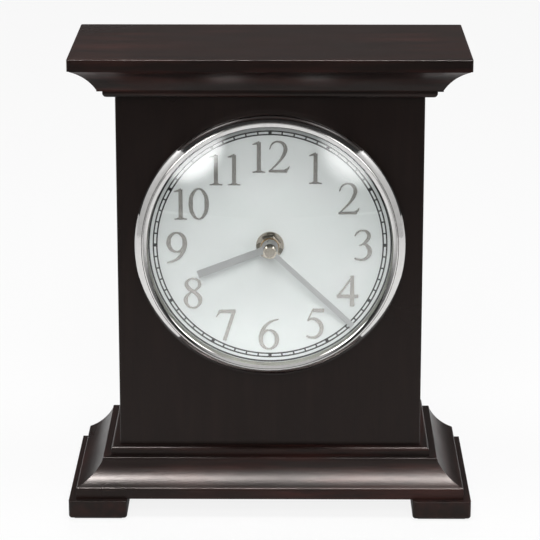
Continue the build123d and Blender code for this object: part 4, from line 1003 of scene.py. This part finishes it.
for hour, (across, up) in HOUR_PLACES.items():
    fit(numeral(str(hour), across, up), "case", "hand_metal", finish=finishes["numeral_metal"])

# %% [markdown]
# The base moulding is a planed strip. Its outline is drawn once as reach and height, with the lip, the nose
# and the bead eased over, because these eased edges are what draw the thin bright lines along the base.

# %% Draw the outline of the base moulding
LIP_EASE, NOSE_EASE, BEAD_EASE = 1.0, 0.6, 2.0
EASE_POINTS = 6
COVE_RADIUS, COVE_POINTS = 24.0, 24
COVE_INNER, NOSE_RISE, BEAD_REACH, FASCIA_HEIGHT, COVE_HEIGHT = 9.3, 1.2, 5.0, 6.0, 13.0
front_low, front_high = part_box("base_molding_front")
case_low, case_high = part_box("front_panel")
base_reach = (case_low.y - front_low.y) / MM
foot_top = front_low.z / MM
bead_top = front_high.z / MM
lip_top = foot_top + FASCIA_HEIGHT
ledge = lip_top + COVE_HEIGHT


def eased(corner, before, after, ease):
    """Points that round a corner of an outline between its two neighbours."""
    corner, before, after = Vector(corner), Vector(before), Vector(after)
    way_in, way_out = (corner - before).normalized(), (after - corner).normalized()
    bend = way_in.angle(way_out)
    start = corner - way_in * ease * math.tan(bend / 2)
    points = []
    for k in range(EASE_POINTS + 1):
        turn = bend * k / EASE_POINTS
        inward = (way_out - way_in * way_out.dot(way_in)).normalized()
        points.append(tuple(start + way_in * ease * math.sin(turn) + inward * ease * (1 - math.cos(turn))))
    return points


cove = roll((COVE_INNER, ledge - NOSE_RISE), (base_reach, lip_top), COVE_RADIUS, COVE_POINTS)
base_outline = [(0, foot_top), (base_reach, foot_top)]
base_outline += eased((base_reach, lip_top), (base_reach, foot_top), cove[-2], LIP_EASE)
base_outline += cove[-4:0:-1]
base_outline += eased((COVE_INNER, ledge), cove[0], (BEAD_REACH, ledge), NOSE_EASE)
base_outline += [(BEAD_REACH, ledge)]
base_outline += eased((BEAD_REACH, bead_top), (BEAD_REACH, ledge), (0, bead_top), BEAD_EASE)
base_outline += [(0, bead_top)]
print("base outline with", len(base_outline), "points")

# %% [markdown]
# The strip is sawn in three and mitred at the front corners. Each length is pulled out longer than needed,
# and bisect is the mitre saw: it cuts at 45 degrees through the case's corner and closes the cut.

# %% Plane and mitre the base moulding
def planed(name, start, outward, run, mitres):
    """A strip with the base outline, pulled along a run and sawn at its mitres."""
    places = [start + (outward * reach + Vector((0, 0, height))) * MM for reach, height in base_outline]
    piece = pulled(name, places + places[:1])
    bpy.ops.mesh.edge_face_add()
    bpy.ops.mesh.extrude_region_move(TRANSFORM_OT_translate={"value": tuple(run)})
    for corner, away in mitres:
        select_mesh()
        bpy.ops.mesh.bisect(plane_co=corner, plane_no=away, use_fill=True, clear_outer=True)
    select_mesh()
    smooth()
    return piece


left_corner = Vector((case_low.x, case_low.y, 0))
right_corner = Vector((case_high.x, case_low.y, 0))
spare = base_reach * MM
side_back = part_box("base_molding_left")[1].y
front_run = Vector((case_high.x - case_low.x + 2 * spare, 0, 0))
front_strip = planed(
    "base_strip_front", left_corner - Vector((spare, 0, 0)), Vector((0, -1, 0)), front_run,
    ((left_corner, (-1, 1, 0)), (right_corner, (1, 1, 0))),
)
fit(front_strip, "case", "black_wood", "base_molding_front", finish=wood_across)
side_run = Vector((0, case_low.y - spare - side_back, 0))
for side, corner, outward in (("left", left_corner, -1), ("right", right_corner, 1)):
    strip = planed(
        "base_strip_" + side, Vector((corner.x, side_back, 0)), Vector((outward, 0, 0)), side_run,
        ((corner, (-outward, -1, 0)),),
    )
    fit(strip, "case", "black_wood", "base_molding_" + side, finish=wood_back)

# %% [markdown]
# The top board and the two runner feet are plain sawn boards. Their corners are rounded, but the other edges
# are only broken with fine paper, so they show as thin lines under the lamps. Each starts as a cube of the
# imported board's size. Its corners get a wide bevel and the rest a narrow one. Weighted normals keep the flats
# flat.

# %% Round the top board and the feet
CORNER_SEGMENTS = 6
BOARD_CORNER, FOOT_CORNER, BROKEN_EDGE = 1.2, 1.8, 0.08


def soften(board, picked, width, segments):
    """Bevel the edges whose middle and rise a test picks."""
    bpy.ops.object.mode_set(mode="EDIT")
    bpy.ops.mesh.select_mode(type="EDGE")
    bpy.ops.mesh.select_all(action="DESELECT")
    bpy.ops.object.mode_set(mode="OBJECT")
    for edge in board.data.edges:
        first, second = (board.data.vertices[index].co for index in edge.vertices)
        edge.select = picked((first + second) / 2, abs(first.z - second.z))
    bpy.ops.object.mode_set(mode="EDIT")
    bpy.ops.mesh.bevel(offset=width * MM, segments=segments)
    bpy.ops.object.mode_set(mode="OBJECT")


def flatten_shading(board):
    """Smooth the rounded edges and keep the flats flat."""
    bpy.ops.object.shade_smooth_by_angle(angle=SMOOTH_ANGLE)
    board.modifiers.new("flats", "WEIGHTED_NORMAL").keep_sharp = True
    bpy.ops.object.modifier_apply(modifier="flats")


top_low, top_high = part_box("top_board")
top_piece = block("rounded_top", (top_low + top_high) / 2, top_high - top_low)
soften(top_piece, lambda middle, rise: rise > MM, BOARD_CORNER, CORNER_SEGMENTS)
soften(top_piece, lambda middle, rise: rise < WELD, BROKEN_EDGE, 1)
flatten_shading(top_piece)
fit(top_piece, "case", "black_wood", "top_board", finish=wood_across)
for side in ("left", "right"):
    foot_low, foot_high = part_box(side + "_foot")
    foot = block(side + "_runner", (foot_low + foot_high) / 2, foot_high - foot_low)
    soften(
        foot,
        lambda middle, rise: middle.y < foot_high.y - MM and middle.z < foot_high.z - MM,
        FOOT_CORNER, CORNER_SEGMENTS,
    )
    soften(foot, lambda middle, rise: middle.z > foot_high.z - WELD, BROKEN_EDGE, 1)
    flatten_shading(foot)
    fit(foot, "case", "black_wood", side + "_foot", finish=wood_back)

# %% [markdown]
# Every screw on the back has the same pan head: a disc with its rim rounded over and a cross sunk in the top
# for the driver. One head is modelled at a radius and height of 1, with the cross cut by a Boolean.

# %% Model one screw head
HEAD_SIDES, HEAD_EASE, HEAD_SEGMENTS = 32, 0.35, 4
CROSS_LENGTH, CROSS_WIDTH, CROSS_DEPTH = 1.2, 0.24, 0.5
head = fresh(
    "screw_head",
    bpy.ops.mesh.primitive_cylinder_add,
    vertices=HEAD_SIDES,
    radius=1,
    depth=1,
    location=(0, 0.5, 0),
    rotation=(math.radians(-90), 0, 0),
)
bpy.ops.object.transform_apply()
rim = head.modifiers.new("rim", "BEVEL")
rim.width, rim.segments, rim.limit_method = HEAD_EASE, HEAD_SEGMENTS, "ANGLE"
bpy.ops.object.modifier_apply(modifier="rim")
for length, width in ((CROSS_LENGTH, CROSS_WIDTH), (CROSS_WIDTH, CROSS_LENGTH)):
    combine(head, block("cross_bar", (0, 1, 0), (length, 2 * CROSS_DEPTH, width)), "DIFFERENCE")
bpy.ops.object.shade_smooth_by_angle(angle=SMOOTH_ANGLE)
print("screw head with", len(head.data.polygons), "faces")

# %% [markdown]
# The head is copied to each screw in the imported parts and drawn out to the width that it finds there. A
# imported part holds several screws, so its vertices are first sorted into groups that lie close together.

# %% Copy the head to each screw
SCREWS = {
    "movement_screws": ("case", "zinc_steel", 1.4),
    "case_screws": ("case", "hinge_brass", 0.7),
    "door_screws": ("back_door", "hinge_brass", 0.7),
}
APART = 0.006
for node_name, (body, slot_name, rise) in SCREWS.items():
    groups = []
    for vertex in nodes[node_name].data.vertices:
        place = nodes[node_name].matrix_world @ vertex.co
        near = next((group for group in groups if (group[0] - place).xz.length < APART), None)
        if near:
            near.append(place)
        else:
            groups.append([place])
    for number, group in enumerate(groups, 1):
        low, high = (Vector([limit(axis) for axis in zip(*group)]) for limit in (min, max))
        alone(head)
        bpy.ops.object.duplicate()
        screw = bpy.context.object
        screw.name = node_name[:-1] + "_" + str(number)
        screw.location = ((low.x + high.x) / 2, high.y - rise * MM, (low.z + high.z) / 2)
        screw.scale = ((high.x - low.x) / 2, rise * MM, (high.z - low.z) / 2)
        bpy.ops.object.transform_apply()
        fit(screw, body, slot_name, node_name)
bpy.data.objects.remove(head)
